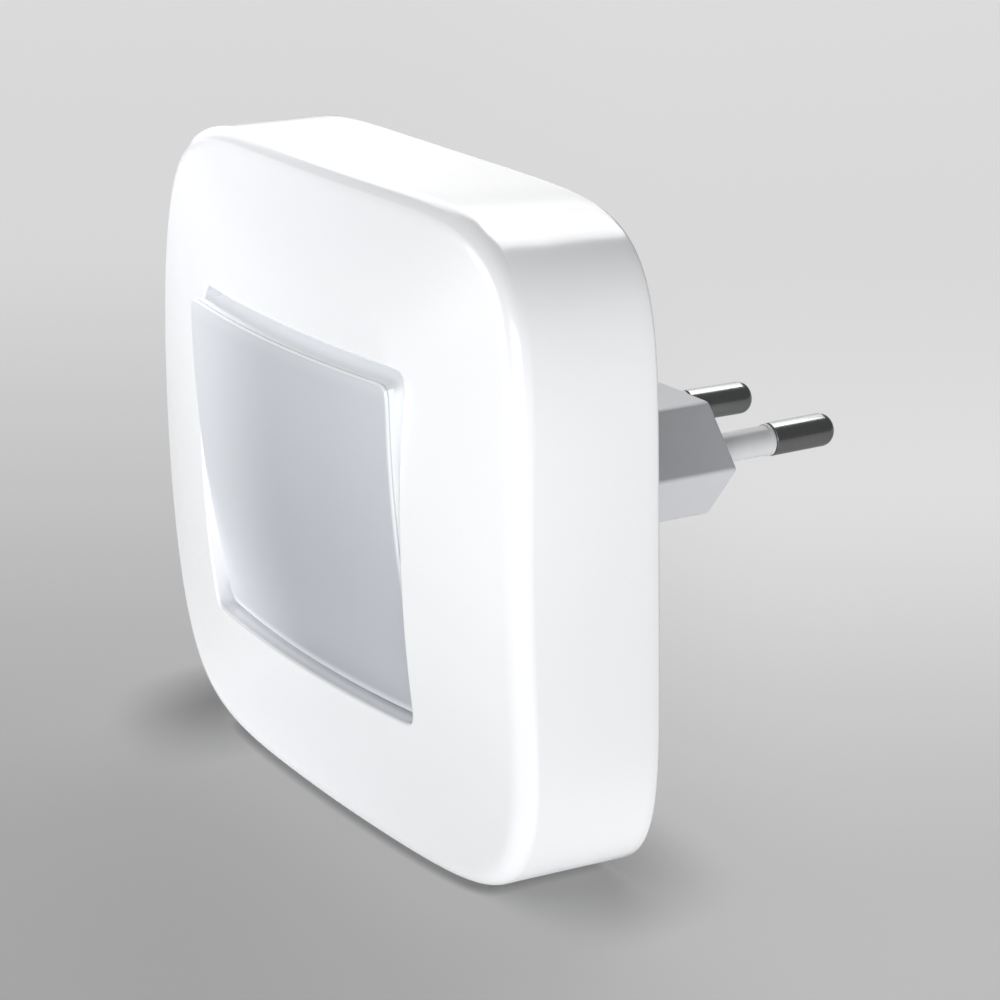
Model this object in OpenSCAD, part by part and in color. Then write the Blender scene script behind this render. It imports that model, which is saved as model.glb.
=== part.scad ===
// Plug in night light: a domed squircle lamp with a large rocker switch in its front,
// and a flat two-pin plug on a round plinth at its back.
// X runs across the lamp, Y from its front to its back, Z up.
// The origin is the middle of the plug's face, which meets the floor of the socket.

/* [Housing] */
// Width of the lamp
body_w = 88; // [80:1:100]
// Height of the lamp
body_h = 76.4; // [72:0.2:90]
// Distance from the plug's face to the rear rim of the lamp
rim_back = 27; // [25:0.5:32]
// Depth of the side wall at the corners
corner_depth = 15.3; // [15:0.1:20]
// Rise of the front edge from a corner to the middle of a side
edge_crown = 2.2; // [1:0.1:3]
// Further rise of the dome in the middle of the front
dome_crown = 3.4; // [2:0.1:5]
// Squareness of the outline across its width
square_x = 6.4; // [4:0.1:8]
// Squareness of the outline over its height
square_z = 4.2; // [3.5:0.1:6]
// Squareness of the rear rim over its height
rear_square_z = 5.9; // [4:0.1:6.5]
// Draft of the side wall, on each side
draft = 0.4; // [0.2:0.05:1.5]
// Radius of the front edge
edge_r = 2.3; // [1:0.1:3]
// Radius of the rear edge
rear_edge_r = 0.5; // [0.2:0.1:1]
// Wall of the front cover
wall = 2; // [1.6:0.1:2.4]

/* [Rear cover] */
// Thickness of the rear plate
rear_t = 2.2; // [1.8:0.1:3]
// Space round the plug's rim, inside the plinth
plinth_space = 0.5; // [0.3:0.05:1]
// Height of the plinth
plinth_h = 8; // [6:0.5:9]
// Radius of the plinth's edge
plinth_edge_r = 2; // [1:0.5:3]
// Wall of the plinth
plinth_wall = 2; // [1.6:0.1:2.6]

/* [Plug] */
// Width of the six-sided plug
plug_w = 35.3; // [34.6:0.1:36]
// Height of the plug
plug_h = 13.7; // [13:0.1:14.4]
// Width of the plug's flat top
plug_flat_w = 23.2; // [20:0.2:26]
// Wall of the plug
plug_wall = 1.8; // [1.5:0.1:2.2]
// Thickness of the plug's face
plug_face_t = 4; // [3:0.5:6]
// Rim of the plug behind the plinth's wall
plug_flange = 1.5; // [1:0.1:2]
// Distance between the pins at the plug's face
pin_pitch_base = 18.6; // [18:0.1:19.2]
// Distance between the pins at their tips
pin_pitch_tip = 17.5; // [17:0.1:18]
// Length of the pins
pin_l = 19; // [18.5:0.1:19.5]
// Diameter of the bare end of a pin
pin_d = 4; // [3.94:0.01:4.06]
// Radius of the edge of a pin's tip
pin_tip_r = 1.3; // [0.8:0.1:1.8]
// Length of the insulating sleeve
sleeve_l = 10; // [9.5:0.1:11]
// Diameter of the insulating sleeve
sleeve_d = 3.6; // [3.4:0.1:3.8]
// Diameter of the pin inside the sleeve
core_d = 2.6; // [2:0.1:2.8]
// Width of the collar at the foot of a sleeve
collar_w = 0.8; // [0.7:0.1:1.2]
// Height of the collar at the foot of a sleeve
collar_h = 0.8; // [0.4:0.1:1]
// Length of the pin bosses inside the plug
boss_l = 11; // [8:0.5:13]
// Wall of the pin bosses
boss_wall = 2; // [1.5:0.1:2.4]
// Depth of the sleeve's foot in the plug's face
sleeve_sink = 1; // [0.5:0.1:2]
// Length of the pin's tail behind the plug's rim
tail_l = 2; // [1.5:0.1:3]

/* [Rocker] */
// Width of the opening for the rocker
opening_w = 49.6; // [46:0.2:52]
// Height of the opening for the rocker
opening_h = 39.8; // [36:0.2:42]
// Corner radius of the opening
opening_r = 1.6; // [1:0.1:3]
// Wall round the opening, inside the cover
well_wall = 1.6; // [1.2:0.1:2]
// Gap between that wall and the circuit board
well_gap = 3.8; // [3:0.1:4.5]
// Gap between the rocker and the sides of the opening
gap_x = 0.35; // [0.3:0.05:0.6]
// Gap above and below the rocker when it stands level
gap_z = 0.65; // [0.6:0.05:1]
// Thickness of the grey face plate
plate_t = 1.2; // [0.8:0.1:1.6]
// Step from the face plate in to the white rocker under it
plate_step = 0.3; // [0.2:0.1:0.5]
// Wall of the white rocker
rocker_wall = 1.4; // [1.2:0.1:1.8]
// Depth of the rocker's skirt, from the corners of its face
skirt_d = 5.8; // [4:0.2:6.4]
// Distance from the corners of the rocker's face back to its hinge line
hinge_back = 4; // [3.5:0.1:5]
// Tilt of the rocker to either side of level
tilt = 6; // [3:0.5:6]
// Diameter of the hinge pins
hinge_d = 2; // [1.6:0.1:2.4]
// Distance between the outer faces of the two frame ears
ear_span = 32; // [28:0.5:34]
// Thickness of a frame ear and of a rocker lug
ear_t = 2; // [1.6:0.1:2.6]
// Gap between an ear and its lug
ear_gap = 0.5; // [0.3:0.1:1]

/* [Switch] */
// Width of the switch base
base_w = 36; // [36:0.5:40]
// Height of the switch base
base_h = 26; // [24:0.5:30]
// Thickness of the switch base's floor
base_t = 1.4; // [1:0.1:1.6]
// Height of the rim round the switch base
base_rim = 1.2; // [0.8:0.1:1.6]
// Thickness of the rim round the switch base
base_rim_t = 1; // [0.8:0.1:1.4]
// Diameter of the switch screws
switch_screw_d = 1.4; // [1.2:0.1:1.8]
// Diameter of the switch screws' heads
switch_head_d = 3.4; // [3:0.1:3.8]
// Thickness of the switch screws' heads
switch_head_t = 1; // [0.8:0.1:1.2]
// Distance of the switch screws from the edges of the switch base
switch_screw_in = 3; // [2.6:0.1:3.4]
// Thickness of the brass strips
strip_t = 0.6; // [0.5:0.05:0.7]
// Length of the see-saw contact
lever_l = 15; // [13:0.5:17]
// Width of the see-saw contact
lever_w = 4.4; // [4:0.1:5]
// Height of the see-saw's pivot over the switch base's floor
lever_up = 2.4; // [2.3:0.1:2.6]
// Diameter of the see-saw's pivot
lever_pivot_d = 1.2; // [1:0.1:1.3]
// Distance of the contacts from the see-saw's pivot
contact_off = 6; // [5.4:0.1:6.4]
// Diameter of the contacts
contact_d = 2.4; // [2:0.1:2.8]
// Air left between the closed contacts
contact_air = 0.3; // [0.25:0.05:0.4]
// Diameter of the sprung plunger
plunger_d = 2.6; // [2.2:0.1:3]
// Wall of the plunger's guide
guide_wall = 1.3; // [1:0.1:1.6]
// Length of the plunger
plunger_l = 6; // [5.4:0.1:6.4]
// Travel of the plunger into its guide
plunger_travel = 0.8; // [0.5:0.1:1]
// Air between the plunger and the see-saw
plunger_air = 0.25; // [0.2:0.05:0.4]
// Turns of the plunger's spring
spring_turns = 4; // [3:1:6]
// Wire of the plunger's spring
spring_wire = 0.36; // [0.3:0.02:0.4]

/* [Electronics] */
// Thickness of the circuit board
board_t = 1.6; // [1.2:0.1:1.8]
// Gap between the circuit board and the rear plate
board_gap = 3.4; // [3:0.1:4]
// Distance of the cover screws from the sides of the lamp
screw_in_x = 10; // [9:0.5:12]
// Distance of the cover screws from the top and bottom of the lamp
screw_in_z = 10.7; // [10:0.1:13]
// Diameter of the screw posts
post_d = 6; // [5:0.5:7]
// Diameter of the cover screws
screw_d = 2.4; // [2:0.1:2.8]
// Length of the cover screws below their heads
screw_l = 12.5; // [11:0.5:13.5]
// Diameter of the cover screws' heads
head_d = 4.8; // [4:0.2:5.2]
// Thickness of the cover screws' heads
head_t = 1.2; // [1:0.1:1.3]
// Depth of the sinks for the heads
sink_t = 1.4; // [1.3:0.1:1.7]
// Size of a light-emitting diode
led_size = [3.5, 0.7, 2.8]; // [1:0.1:6]
// Thickness of the diodes' phosphor
phosphor_t = 0.1; // [0.05:0.01:0.2]
// Share of a diode's width and height that is phosphor
phosphor_share = 0.7; // [0.5:0.05:0.9]
// Distance of the diodes from the edge of the lamp
led_in = 8.6; // [7.5:0.1:10]
// Distance between the diodes of a row
led_pitch = 22; // [18:0.5:23]
// Thickness of the reflector tray
tray_t = 0.9; // [0.8:0.1:1.2]
// Length by which the tray's wall laps the wall round the opening
tray_lap = 2; // [1:0.1:3]
// Width of the contact springs
spring_w = 4; // [3:0.2:5]
// Distance from a pin out to the leg of its contact spring
spring_reach = 5; // [4:0.2:6]
// Size of the film capacitor
film_cap_size = [13, 9, 5]; // [4:0.5:14]
// Height of the capacitors over and under the middle of the board
cap_z = 11; // [10:0.5:12]
// Diameter of the smoothing capacitor
can_d = 8; // [6:0.5:9]
// Length of the smoothing capacitor
can_l = 12; // [10:0.5:14]
// Size of the bridge rectifier
bridge_size = [4.8, 2.5, 4]; // [2:0.1:7]
// Height of the fuse resistor over the middle of the board
fuse_z = 5.5; // [5:0.1:6]
// Distance of the chip resistors under the middle of the board, and apart
chip_pitch = 4.8; // [4.4:0.1:5.2]
// Size of a chip resistor
chip_size = [3.2, 0.6, 1.6]; // [0.5:0.1:4]
// Diameter of the fuse resistor
fuse_d = 2.5; // [2:0.1:3]
// Length of the fuse resistor
fuse_l = 6.5; // [5:0.5:8]

/* [Hidden] */
$fn = 48;

eps = 0.01;          // depth by which joined shapes reach into each other
over = 1;            // distance by which a cut runs past what it cuts
fit = 0.05;          // running clearance of pins and plunger, on the radius
seat = 0.02;         // clearance of pieces that are fixed in each other
slack = 0.15;        // clearance of pieces that are laid or screwed together
board_margin = 1;    // clearance of the board in the cover
tray_margin = 1.4;   // clearance of the tray in the cover
hole_gap = 0.4;      // clearance of the screws in the board
led_gap = 0.5;       // clearance of the diodes in the tray
lever_gap = 0.7;     // clearance of the see-saw between its ears
inner_edge_r = 0.4;  // least radius of the front edge, inside the cover

steps = 24;          // points in a quarter of the outline
edge_steps = 5;      // bands of the rounded front edge
dome_rings = [0.92, 0.83, 0.73, 0.62, 0.5, 0.37, 0.24, 0.12];

rim_y = -rim_back;
plate_y = rim_y - rear_t;               // inner face of the rear plate
board_rear_y = plate_y - board_gap;
board_front_y = board_rear_y - board_t;
plinth_y = rim_y + plinth_h;            // face of the plinth
plug_back_y = plinth_y - plinth_wall - plug_flange;
plug_slant = norm([plug_h, plug_w - plug_flat_w]) / 2;  // width of a slanted face of the plug
plinth_hollow_r = plug_corner(plug_flange) + plinth_space;
plinth_r = plinth_hollow_r + plinth_wall;

well_back_y = board_front_y - well_gap; // rear edge of the wall round the opening
screw_tip_y = rim_y - sink_t - screw_l;
apex_y = face_y(0, 0);                  // foremost point of the dome
rocker_w = opening_w - 2 * gap_x;
rocker_h = opening_h - 2 * gap_z;
rocker_r = opening_r - gap_x;
rocker_corner_y = face_y(rocker_w / 2, rocker_h / 2);
hinge_y = rocker_corner_y + hinge_back;
skirt_y = rocker_corner_y + skirt_d;

floor_y = board_front_y - base_t;       // working face of the switch base
lever_y = floor_y - lever_up;
lever_front_y = lever_y - strip_t / 2;
contact_t = (lever_up - strip_t * 1.5 - contact_off * sin(tilt) - contact_air) / 2;
plunger_tip_y = lever_front_y - plunger_air;
plunger_top_y = plunger_tip_y - plunger_l;
rocker_roof_y = apex_y + plate_t + rocker_wall;

pin_lean = atan((pin_pitch_base - pin_pitch_tip) / 2 / pin_l);
tail_back = -plug_back_y + tail_l;      // how far a pin reaches behind the plug's face

post_places = [for (sx = [-1, 1], sz = [-1, 1])
    [sx * (body_w / 2 - screw_in_x), sz * (body_h / 2 - screw_in_z)]];
led_places = concat(
    [for (k = [-1, 0, 1], sz = [-1, 1]) [k * led_pitch, sz * (body_h / 2 - led_in)]],
    [for (sx = [-1, 1], k = [-0.5, 0.5]) [sx * (body_w / 2 - led_in), k * led_pitch]]
);
switch_screw_places = [for (s = [-1, 1])
    [s * (base_w / 2 - switch_screw_in), s * (base_h / 2 - switch_screw_in)]];

// half the width of the plug, grown by a margin on every side
function plug_corner(grow) = plug_w / 2 + grow * plug_slant / (plug_h / 2);

// ---------- outline and dome ----------

function sgn(v) = v < 0 ? -1 : 1;

// angle of point k of an outline, spaced evenly along the sides
function outline_angle(k, m) =
    let (quarter = floor(k / steps),
         u = (k - quarter * steps) / steps,
         v = quarter % 2 == 0 ? u : 1 - u,
         rise = pow(v, m / 2),
         fall = pow(1 - v, square_x / 2),
         t = 90 * rise / (rise + fall))
    quarter % 2 == 0 ? 90 * quarter + t : 90 * quarter + 90 - t;

// superellipse with half sizes a and b
function outline_point(a, b, n, m, t) =
    [a * sgn(cos(t)) * pow(abs(cos(t)), 2 / n), b * sgn(sin(t)) * pow(abs(sin(t)), 2 / m)];

function outline_normal(a, b, n, m, p) =
    let (gx = n * sgn(p.x) * pow(abs(p.x) / a, n - 1) / a,
         gz = m * sgn(p.y) * pow(abs(p.y) / b, m - 1) / b)
    [gx, gz] / norm([gx, gz]);

function outline(inset, m = square_z) =
    [for (k = [0 : 4 * steps - 1])
        outline_point(body_w / 2 - inset, body_h / 2 - inset, square_x, m, outline_angle(k, m))];

function rear_outline(inset) = outline(inset, rear_square_z);

// outline of the rear plate: the hollow of the cover at the plate's inner face, less a gap
function plate_outline(gap) =
    let (rear = rear_outline(wall + draft + gap),
         front = outline(wall + gap),
         share = (rear_t + over) / corner_depth)
    [for (k = [0 : 4 * steps - 1]) rear[k] + (front[k] - rear[k]) * share];

// Y of the domed front at a place on it
function face_y(x, z) =
    let (fx = 1 - pow(2 * x / body_w, 2),
         fz = 1 - pow(2 * z / body_h, 2))
    rim_y - corner_depth - edge_crown * (fx + fz) - dome_crown * fx * fz;

// ring at the rear of the side wall
function rear_ring(inset, y) = [for (p = rear_outline(inset)) [p.x, y, p.y]];

// ring of the rounded front edge, from the side (0) to the face (90)
function edge_ring(inset, r, a) =
    [for (p = outline(inset))
        let (n = outline_normal(body_w / 2 - inset, body_h / 2 - inset, square_x, square_z, p),
             c = p - n * r,
             q = c + n * r * cos(a))
        [q.x, face_y(c.x, c.y) + inset + r - r * sin(a), q.y]];

// ring of the dome, shrunk by a share
function dome_ring(inset, r, share) =
    [for (p = outline(inset))
        let (n = outline_normal(body_w / 2 - inset, body_h / 2 - inset, square_x, square_z, p),
             q = (p - n * r) * share)
        [q.x, face_y(q.x, q.y) + inset, q.y]];

// closed skin over rings, with a flat end and a pointed end
module skin(rings, tip) {
    count = 4 * steps;
    last = len(rings) - 1;
    points = concat([for (ring = rings) for (p = ring) p], [tip]);
    sides = [for (r = [0 : last - 1], k = [0 : count - 1], half = [0, 1])
        let (a = r * count + k,
             b = r * count + (k + 1) % count)
        half == 0 ? [a, a + count, b] : [b, a + count, b + count]];
    start = [[for (k = [0 : count - 1]) k]];
    end = [for (k = [0 : count - 1]) [last * count + k, (last + 1) * count, last * count + (k + 1) % count]];
    polyhedron(points, concat(start, sides, end));
}

// the lamp's outer form, or its hollow
module lamp_form(inset, rear_y, rear_inset, rear_r) {
    r = max(edge_r - inset, inner_edge_r);
    bevel = rear_r * (1 - cos(45));
    skin(
        concat(
            [rear_ring(inset + rear_inset + rear_r, rear_y)],
            rear_r > 0 ? [rear_ring(inset + rear_inset + bevel, rear_y - bevel),
                          rear_ring(inset + rear_inset, rear_y - rear_r)] : [],
            [for (i = [0 : edge_steps]) edge_ring(inset, r, 90 * i / edge_steps)],
            [for (share = dome_rings) dome_ring(inset, r, share)]
        ),
        [0, apex_y + inset, 0]
    );
}

// block under the dome, a little larger than the rocker, from a depth below the dome to a flat end
module dome_block(depth, back_y) {
    nx = 16;
    nz = 14;
    face = [for (j = [0 : nz], i = [0 : nx])
        let (x = (rocker_w + 2 * over) * (i / nx - 0.5),
             z = (rocker_h + 2 * over) * (j / nz - 0.5))
        [x, face_y(x, z) + depth, z]];
    back = [for (p = face) [p.x, back_y, p.z]];
    row = nx + 1;
    size = row * (nz + 1);
    cells = [for (j = [0 : nz - 1], i = [0 : nx - 1]) j * row + i];
    front_faces = [for (c = cells, half = [0, 1])
        half == 0 ? [c, c + row, c + 1] : [c + 1, c + row, c + row + 1]];
    border = concat(
        [for (i = [0 : nx]) i],
        [for (j = [1 : nz]) j * row + nx],
        [for (i = [nx - 1 : -1 : 0]) nz * row + i],
        [for (j = [nz - 1 : -1 : 1]) j * row]
    );
    count = len(border);
    sides = [for (k = [0 : count - 1], half = [0, 1])
        let (a = border[k],
             b = border[(k + 1) % count])
        half == 0 ? [a, b, size + a] : [b, size + b, size + a]];
    back_faces = [for (f = front_faces) [size + f[0], size + f[2], size + f[1]]];
    polyhedron(concat(face, back), concat(front_faces, sides, back_faces));
}

// the tube of a coil spring along +Z: six-sided wire on a helix
module coil(radius, wire_d, length, turns) {
    around = 6;
    per_turn = 14;
    last = turns * per_turn;
    points = [for (k = [0 : last], i = [0 : around - 1])
        let (a = 360 * k / per_turn,
             b = 360 * i / around,
             r = radius + wire_d / 2 * cos(b))
        [r * cos(a), r * sin(a), length * k / last + wire_d / 2 * sin(b)]];
    sides = [for (k = [0 : last - 1], i = [0 : around - 1], half = [0, 1])
        let (a = k * around + i,
             b = k * around + (i + 1) % around)
        half == 0 ? [a, b, a + around] : [b, b + around, a + around]];
    start = [[for (i = [around - 1 : -1 : 0]) i]];
    end = [[for (i = [0 : around - 1]) last * around + i]];
    polyhedron(points, concat(start, sides, end));
}

// ---------- helpers ----------

// a flat shape in XZ, from one depth to another
module slab(y0, y1) {
    translate([0, y1, 0]) rotate([90, 0, 0]) linear_extrude(y1 - y0) children();
}

module rod(y0, y1, d) {
    translate([0, y0, 0]) rotate([-90, 0, 0]) cylinder(d = d, h = y1 - y0);
}

module cross_rod(x0, x1, d) {
    translate([x0, 0, 0]) rotate([0, 90, 0]) cylinder(d = d, h = x1 - x0);
}

module at_places(places) {
    for (p = places) translate([p.x, 0, p.y]) children();
}

module rounded_rect(w, h, r) {
    square([w - 2 * r, h], center = true);
    square([w, h - 2 * r], center = true);
    for (sx = [-1, 1], sz = [-1, 1]) translate([sx * (w / 2 - r), sz * (h / 2 - r)]) circle(r);
}

// a box centred across and up, from one depth to another
module block(w, h, y0, y1) {
    translate([-w / 2, y0, -h / 2]) cube([w, y1 - y0, h]);
}

// the six-sided section of the plug, grown by a margin on every side
module plug_section(grow) {
    w = plug_corner(grow);
    f = plug_flat_w / 2 + grow * (plug_slant - (plug_w - plug_flat_w) / 2) / (plug_h / 2);
    h = plug_h / 2 + grow;
    polygon([[w, 0], [f, h], [-f, h], [-w, 0], [-f, -h], [f, -h]]);
}

// the axis of a pin: children are built along +Z, from the plug's face
module pin_axis(side) {
    translate([side * pin_pitch_base / 2, 0, 0]) rotate([-90, 0, side * pin_lean]) children();
}

// the rocker as it stands, pressed in at its lower end
module rocker_pose() {
    translate([0, hinge_y, 0]) rotate([tilt, 0, 0]) translate([0, -hinge_y, 0]) children();
}

// the see-saw as it stands, closed at its upper end
module lever_pose() {
    translate([0, lever_y, 0]) rotate([-tilt, 0, 0]) translate([0, -lever_y, 0]) children();
}

// ---------- housing ----------

module front_cover() {
    color("white") difference() {
        lamp_form(0, rim_y, draft, rear_edge_r);
        difference() {
            lamp_form(wall, rim_y + over, draft, 0);
            slab(apex_y - over, well_back_y) difference() {
                rounded_rect(opening_w + 2 * well_wall, opening_h + 2 * well_wall, opening_r + well_wall);
                rounded_rect(opening_w - over, opening_h - over, opening_r);
            }
            at_places(post_places) rod(apex_y - over, board_front_y, post_d);
        }
        slab(apex_y - over, board_front_y) rounded_rect(opening_w, opening_h, opening_r);
        at_places(post_places) rod(screw_tip_y - slack, board_front_y + over, screw_d);
    }
}

module rear_cover() {
    color("whitesmoke") difference() {
        union() {
            slab(plate_y, rim_y) polygon(plate_outline(slack));
            plinth();
            at_places(post_places) rod(board_rear_y, plate_y + eps, post_d);
        }
        rod(plate_y - over, plinth_y - plinth_wall, 2 * plinth_hollow_r);
        slab(plinth_y - plinth_wall - over, plinth_y + over) plug_section(slack);
        at_places(post_places) {
            rod(board_rear_y - over, rim_y + over, screw_d + 4 * slack);
            rod(rim_y - sink_t, rim_y + over, head_d + 4 * slack);
        }
    }
}

module plinth() {
    edge = [plinth_r - plinth_edge_r, plinth_h - plinth_edge_r];
    translate([0, rim_y, 0]) rotate([-90, 0, 0]) rotate_extrude($fn = 96) {
        translate([0, -eps]) square([plinth_r, edge.y + eps]);
        square([edge.x, plinth_h]);
        translate(edge) intersection() {
            circle(plinth_edge_r);
            square(plinth_edge_r);
        }
    }
}

module cover_screws() {
    head_y = rim_y - sink_t;
    slot_w = 0.12 * head_d;
    slot_l = 0.65 * head_d;
    color("silver") at_places(post_places) difference() {
        union() {
            rod(head_y, head_y + head_t, head_d);
            rod(screw_tip_y, head_y, screw_d - 2 * seat);
        }
        block(slot_w, slot_l, head_y + head_t / 2, rim_y);
        block(slot_l, slot_w, head_y + head_t / 2, rim_y);
    }
}

// ---------- plug ----------

module plug_body() {
    color("gainsboro") difference() {
        union() {
            slab(plug_back_y + plug_flange - eps, 0) plug_section(0);
            slab(plug_back_y, plug_back_y + plug_flange) plug_section(plug_flange);
            for (side = [-1, 1]) translate([side * pin_pitch_base / 2, 0, 0])
                rod(-eps, collar_h, sleeve_d + 2 * collar_w);
        }
        difference() {
            slab(plug_back_y - over, -plug_face_t) plug_section(-plug_wall);
            both_pins() along(-plug_face_t - boss_l, -plug_face_t + over, core_d + 2 * boss_wall);
        }
        both_pins() along(-tail_back, over, core_d + 2 * seat);
        both_pins() along(-sleeve_sink, collar_h + over, sleeve_d + 2 * seat);
    }
}

module both_pins() {
    for (side = [-1, 1]) pin_axis(side) children();
}

module along(z0, z1, d) {
    translate([0, 0, z0]) cylinder(d = d, h = z1 - z0);
}

module pin(side) {
    straight_l = pin_l - sleeve_l - pin_tip_r;
    color("silver") pin_axis(side) {
        along(-tail_back, sleeve_l + eps, core_d);
        translate([0, 0, sleeve_l]) rotate_extrude() {
            square([pin_d / 2, straight_l]);
            square([pin_d / 2 - pin_tip_r, straight_l + pin_tip_r]);
            translate([pin_d / 2 - pin_tip_r, straight_l]) intersection() {
                circle(pin_tip_r);
                square(pin_tip_r);
            }
        }
    }
}

module pin_live() { pin(1); }

module pin_neutral() { pin(-1); }

module pin_sleeve(side) {
    color("lightgray") pin_axis(side) difference() {
        along(-sleeve_sink, sleeve_l - seat, sleeve_d);
        along(-sleeve_sink - over, sleeve_l + over, core_d + 2 * seat);
    }
}

module pin_sleeve_live() { pin_sleeve(1); }

module pin_sleeve_neutral() { pin_sleeve(-1); }

// strip from the tail of a pin to the board, with an eye round the tail
module contact_spring(side) {
    eye_y = plug_back_y - tail_l + strip_t;
    eye_x = pin_pitch_base / 2 + tan(pin_lean) * -eye_y;
    eye_edge = eye_x - core_d / 2 - strip_t * 2;
    leg_x = pin_pitch_base / 2 + spring_reach;
    low = -spring_w / 2;
    color("goldenrod") mirror([side < 0 ? 1 : 0, 0, 0]) difference() {
        union() {
            translate([eye_edge, eye_y, low]) cube([leg_x - eye_edge + strip_t, strip_t, spring_w]);
            translate([leg_x, board_rear_y, low]) cube([strip_t, eye_y - board_rear_y + strip_t, spring_w]);
            translate([leg_x - spring_w, board_rear_y, low]) cube([spring_w + strip_t, strip_t, spring_w]);
        }
        translate([eye_x, 0, 0]) rod(eye_y - over, eye_y + over, core_d + slack);
    }
}

module contact_spring_live() { contact_spring(1); }

module contact_spring_neutral() { contact_spring(-1); }

// ---------- electronics ----------

module circuit_board() {
    color("seagreen") slab(board_front_y, board_rear_y) difference() {
        polygon(outline(wall + draft + board_margin));
        for (p = post_places) translate(p) circle(d = screw_d + 2 * hole_gap);
        for (p = switch_screw_places) translate(p) circle(d = switch_screw_d + 2 * hole_gap);
    }
}

module led_packages() {
    color("ivory") at_places(led_places)
        block(led_size.x, led_size.z, board_front_y - led_size.y, board_front_y);
}

module led_phosphor() {
    top_y = board_front_y - led_size.y;
    color("gold") at_places(led_places)
        block(led_size.x * phosphor_share, led_size.z * phosphor_share, top_y - phosphor_t, top_y);
}

module reflector_tray() {
    tray_y = board_front_y - tray_t;
    inner_w = opening_w + 2 * (well_wall + slack);
    inner_h = opening_h + 2 * (well_wall + slack);
    color("white") {
        slab(tray_y, board_front_y) difference() {
            polygon(outline(wall + draft + tray_margin));
            rounded_rect(inner_w, inner_h, opening_r + well_wall);
            for (p = post_places) translate(p) circle(d = post_d + 2 * slack);
            for (p = led_places) translate(p)
                square([led_size.x + 2 * led_gap, led_size.z + 2 * led_gap], center = true);
        }
        slab(well_back_y - tray_lap, board_front_y) difference() {
            rounded_rect(inner_w + 2 * tray_t, inner_h + 2 * tray_t, opening_r + well_wall + tray_t);
            rounded_rect(inner_w, inner_h, opening_r + well_wall);
        }
    }
}

module film_capacitor() {
    color("firebrick") translate([0, 0, cap_z])
        block(film_cap_size.x, film_cap_size.z, board_rear_y, board_rear_y + film_cap_size.y);
}

module smoothing_capacitor() {
    color("darkslategray") translate([0, board_rear_y + can_d / 2, -cap_z])
        cross_rod(-can_l / 2, can_l / 2, can_d);
}

module bridge_rectifier() {
    color("dimgray") block(bridge_size.x, bridge_size.z, board_rear_y, board_rear_y + bridge_size.y);
}

module fuse_resistor() {
    color("skyblue") translate([0, board_rear_y + fuse_d / 2, fuse_z])
        cross_rod(-fuse_l / 2, fuse_l / 2, fuse_d);
}

module chip_resistors() {
    color("black") for (k = [-1, 0, 1]) translate([k * chip_pitch, 0, -chip_pitch])
        block(chip_size.x, chip_size.z, board_rear_y, board_rear_y + chip_size.y);
}

// ---------- switch ----------

module switch_base() {
    color("darkgray") difference() {
        union() {
            difference() {
                block(base_w, base_h, floor_y - base_rim, board_front_y);
                block(base_w - 2 * base_rim_t, base_h - 2 * base_rim_t, floor_y - base_rim - over, floor_y);
            }
            for (side = [-1, 1]) translate([side * (ear_span - ear_t) / 2, 0, 0]) ear();
        }
        translate([0, hinge_y, 0]) cross_rod(-base_w, base_w, hinge_d + 2 * seat);
        at_places(switch_screw_places) rod(floor_y - over, board_front_y + over, switch_screw_d);
    }
}

module ear() {
    block(ear_t, 3 * hinge_d, hinge_y, floor_y + eps);
    translate([0, hinge_y, 0]) cross_rod(-ear_t / 2, ear_t / 2, 3 * hinge_d);
}

module switch_screws() {
    color("silver") at_places(switch_screw_places) {
        rod(board_rear_y, board_rear_y + switch_head_t, switch_head_d);
        rod(floor_y + slack, board_rear_y + eps, switch_screw_d - 2 * seat);
    }
}

module terminal_common() {
    ear_in = lever_w / 2 + lever_gap;
    ear_w = 2.5 * lever_pivot_d;
    color("goldenrod") difference() {
        union() {
            block(2 * (ear_in + strip_t), 2 * ear_w, floor_y - strip_t, floor_y);
            for (side = [-1, 1]) translate([side * (ear_in + strip_t / 2), 0, 0])
                block(strip_t, ear_w, lever_y - lever_pivot_d, floor_y);
        }
        translate([0, lever_y, 0]) cross_rod(-base_w / 4, base_w / 4, lever_pivot_d + 2 * fit);
    }
}

module terminal_load() {
    plate_l = contact_d + 4 * strip_t;
    color("goldenrod") translate([0, 0, contact_off]) block(lever_w, plate_l, floor_y - strip_t, floor_y);
}

module terminal_contact() {
    color("silver") translate([0, 0, contact_off])
        rod(floor_y - strip_t - contact_t, floor_y - strip_t, contact_d);
}

module contact_lever() {
    pivot_l = lever_w + 2 * lever_gap + 4 * strip_t;
    color("goldenrod") lever_pose() {
        block(lever_w, lever_l, lever_y - strip_t / 2, lever_y + strip_t / 2);
        translate([0, lever_y, 0]) cross_rod(-pivot_l / 2, pivot_l / 2, lever_pivot_d);
    }
}

module lever_contact() {
    color("silver") lever_pose() translate([0, 0, contact_off])
        rod(lever_y + strip_t / 2, lever_y + strip_t / 2 + contact_t, contact_d);
}

module hinge_pins() {
    pin_out = ear_span / 2;
    pin_in = ear_span / 2 - 2 * ear_t - ear_gap - over;
    color("silver") for (side = [0, 1]) mirror([side, 0, 0]) translate([0, hinge_y, 0])
        cross_rod(pin_in, pin_out, hinge_d);
}

// ---------- rocker ----------

module rocker_plate() {
    color("lightsteelblue") rocker_pose() difference() {
        intersection() {
            dome_block(0, hinge_y);
            slab(apex_y - over, hinge_y + over) rounded_rect(rocker_w, rocker_h, rocker_r);
        }
        dome_block(plate_t, hinge_y + over);
    }
}

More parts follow.
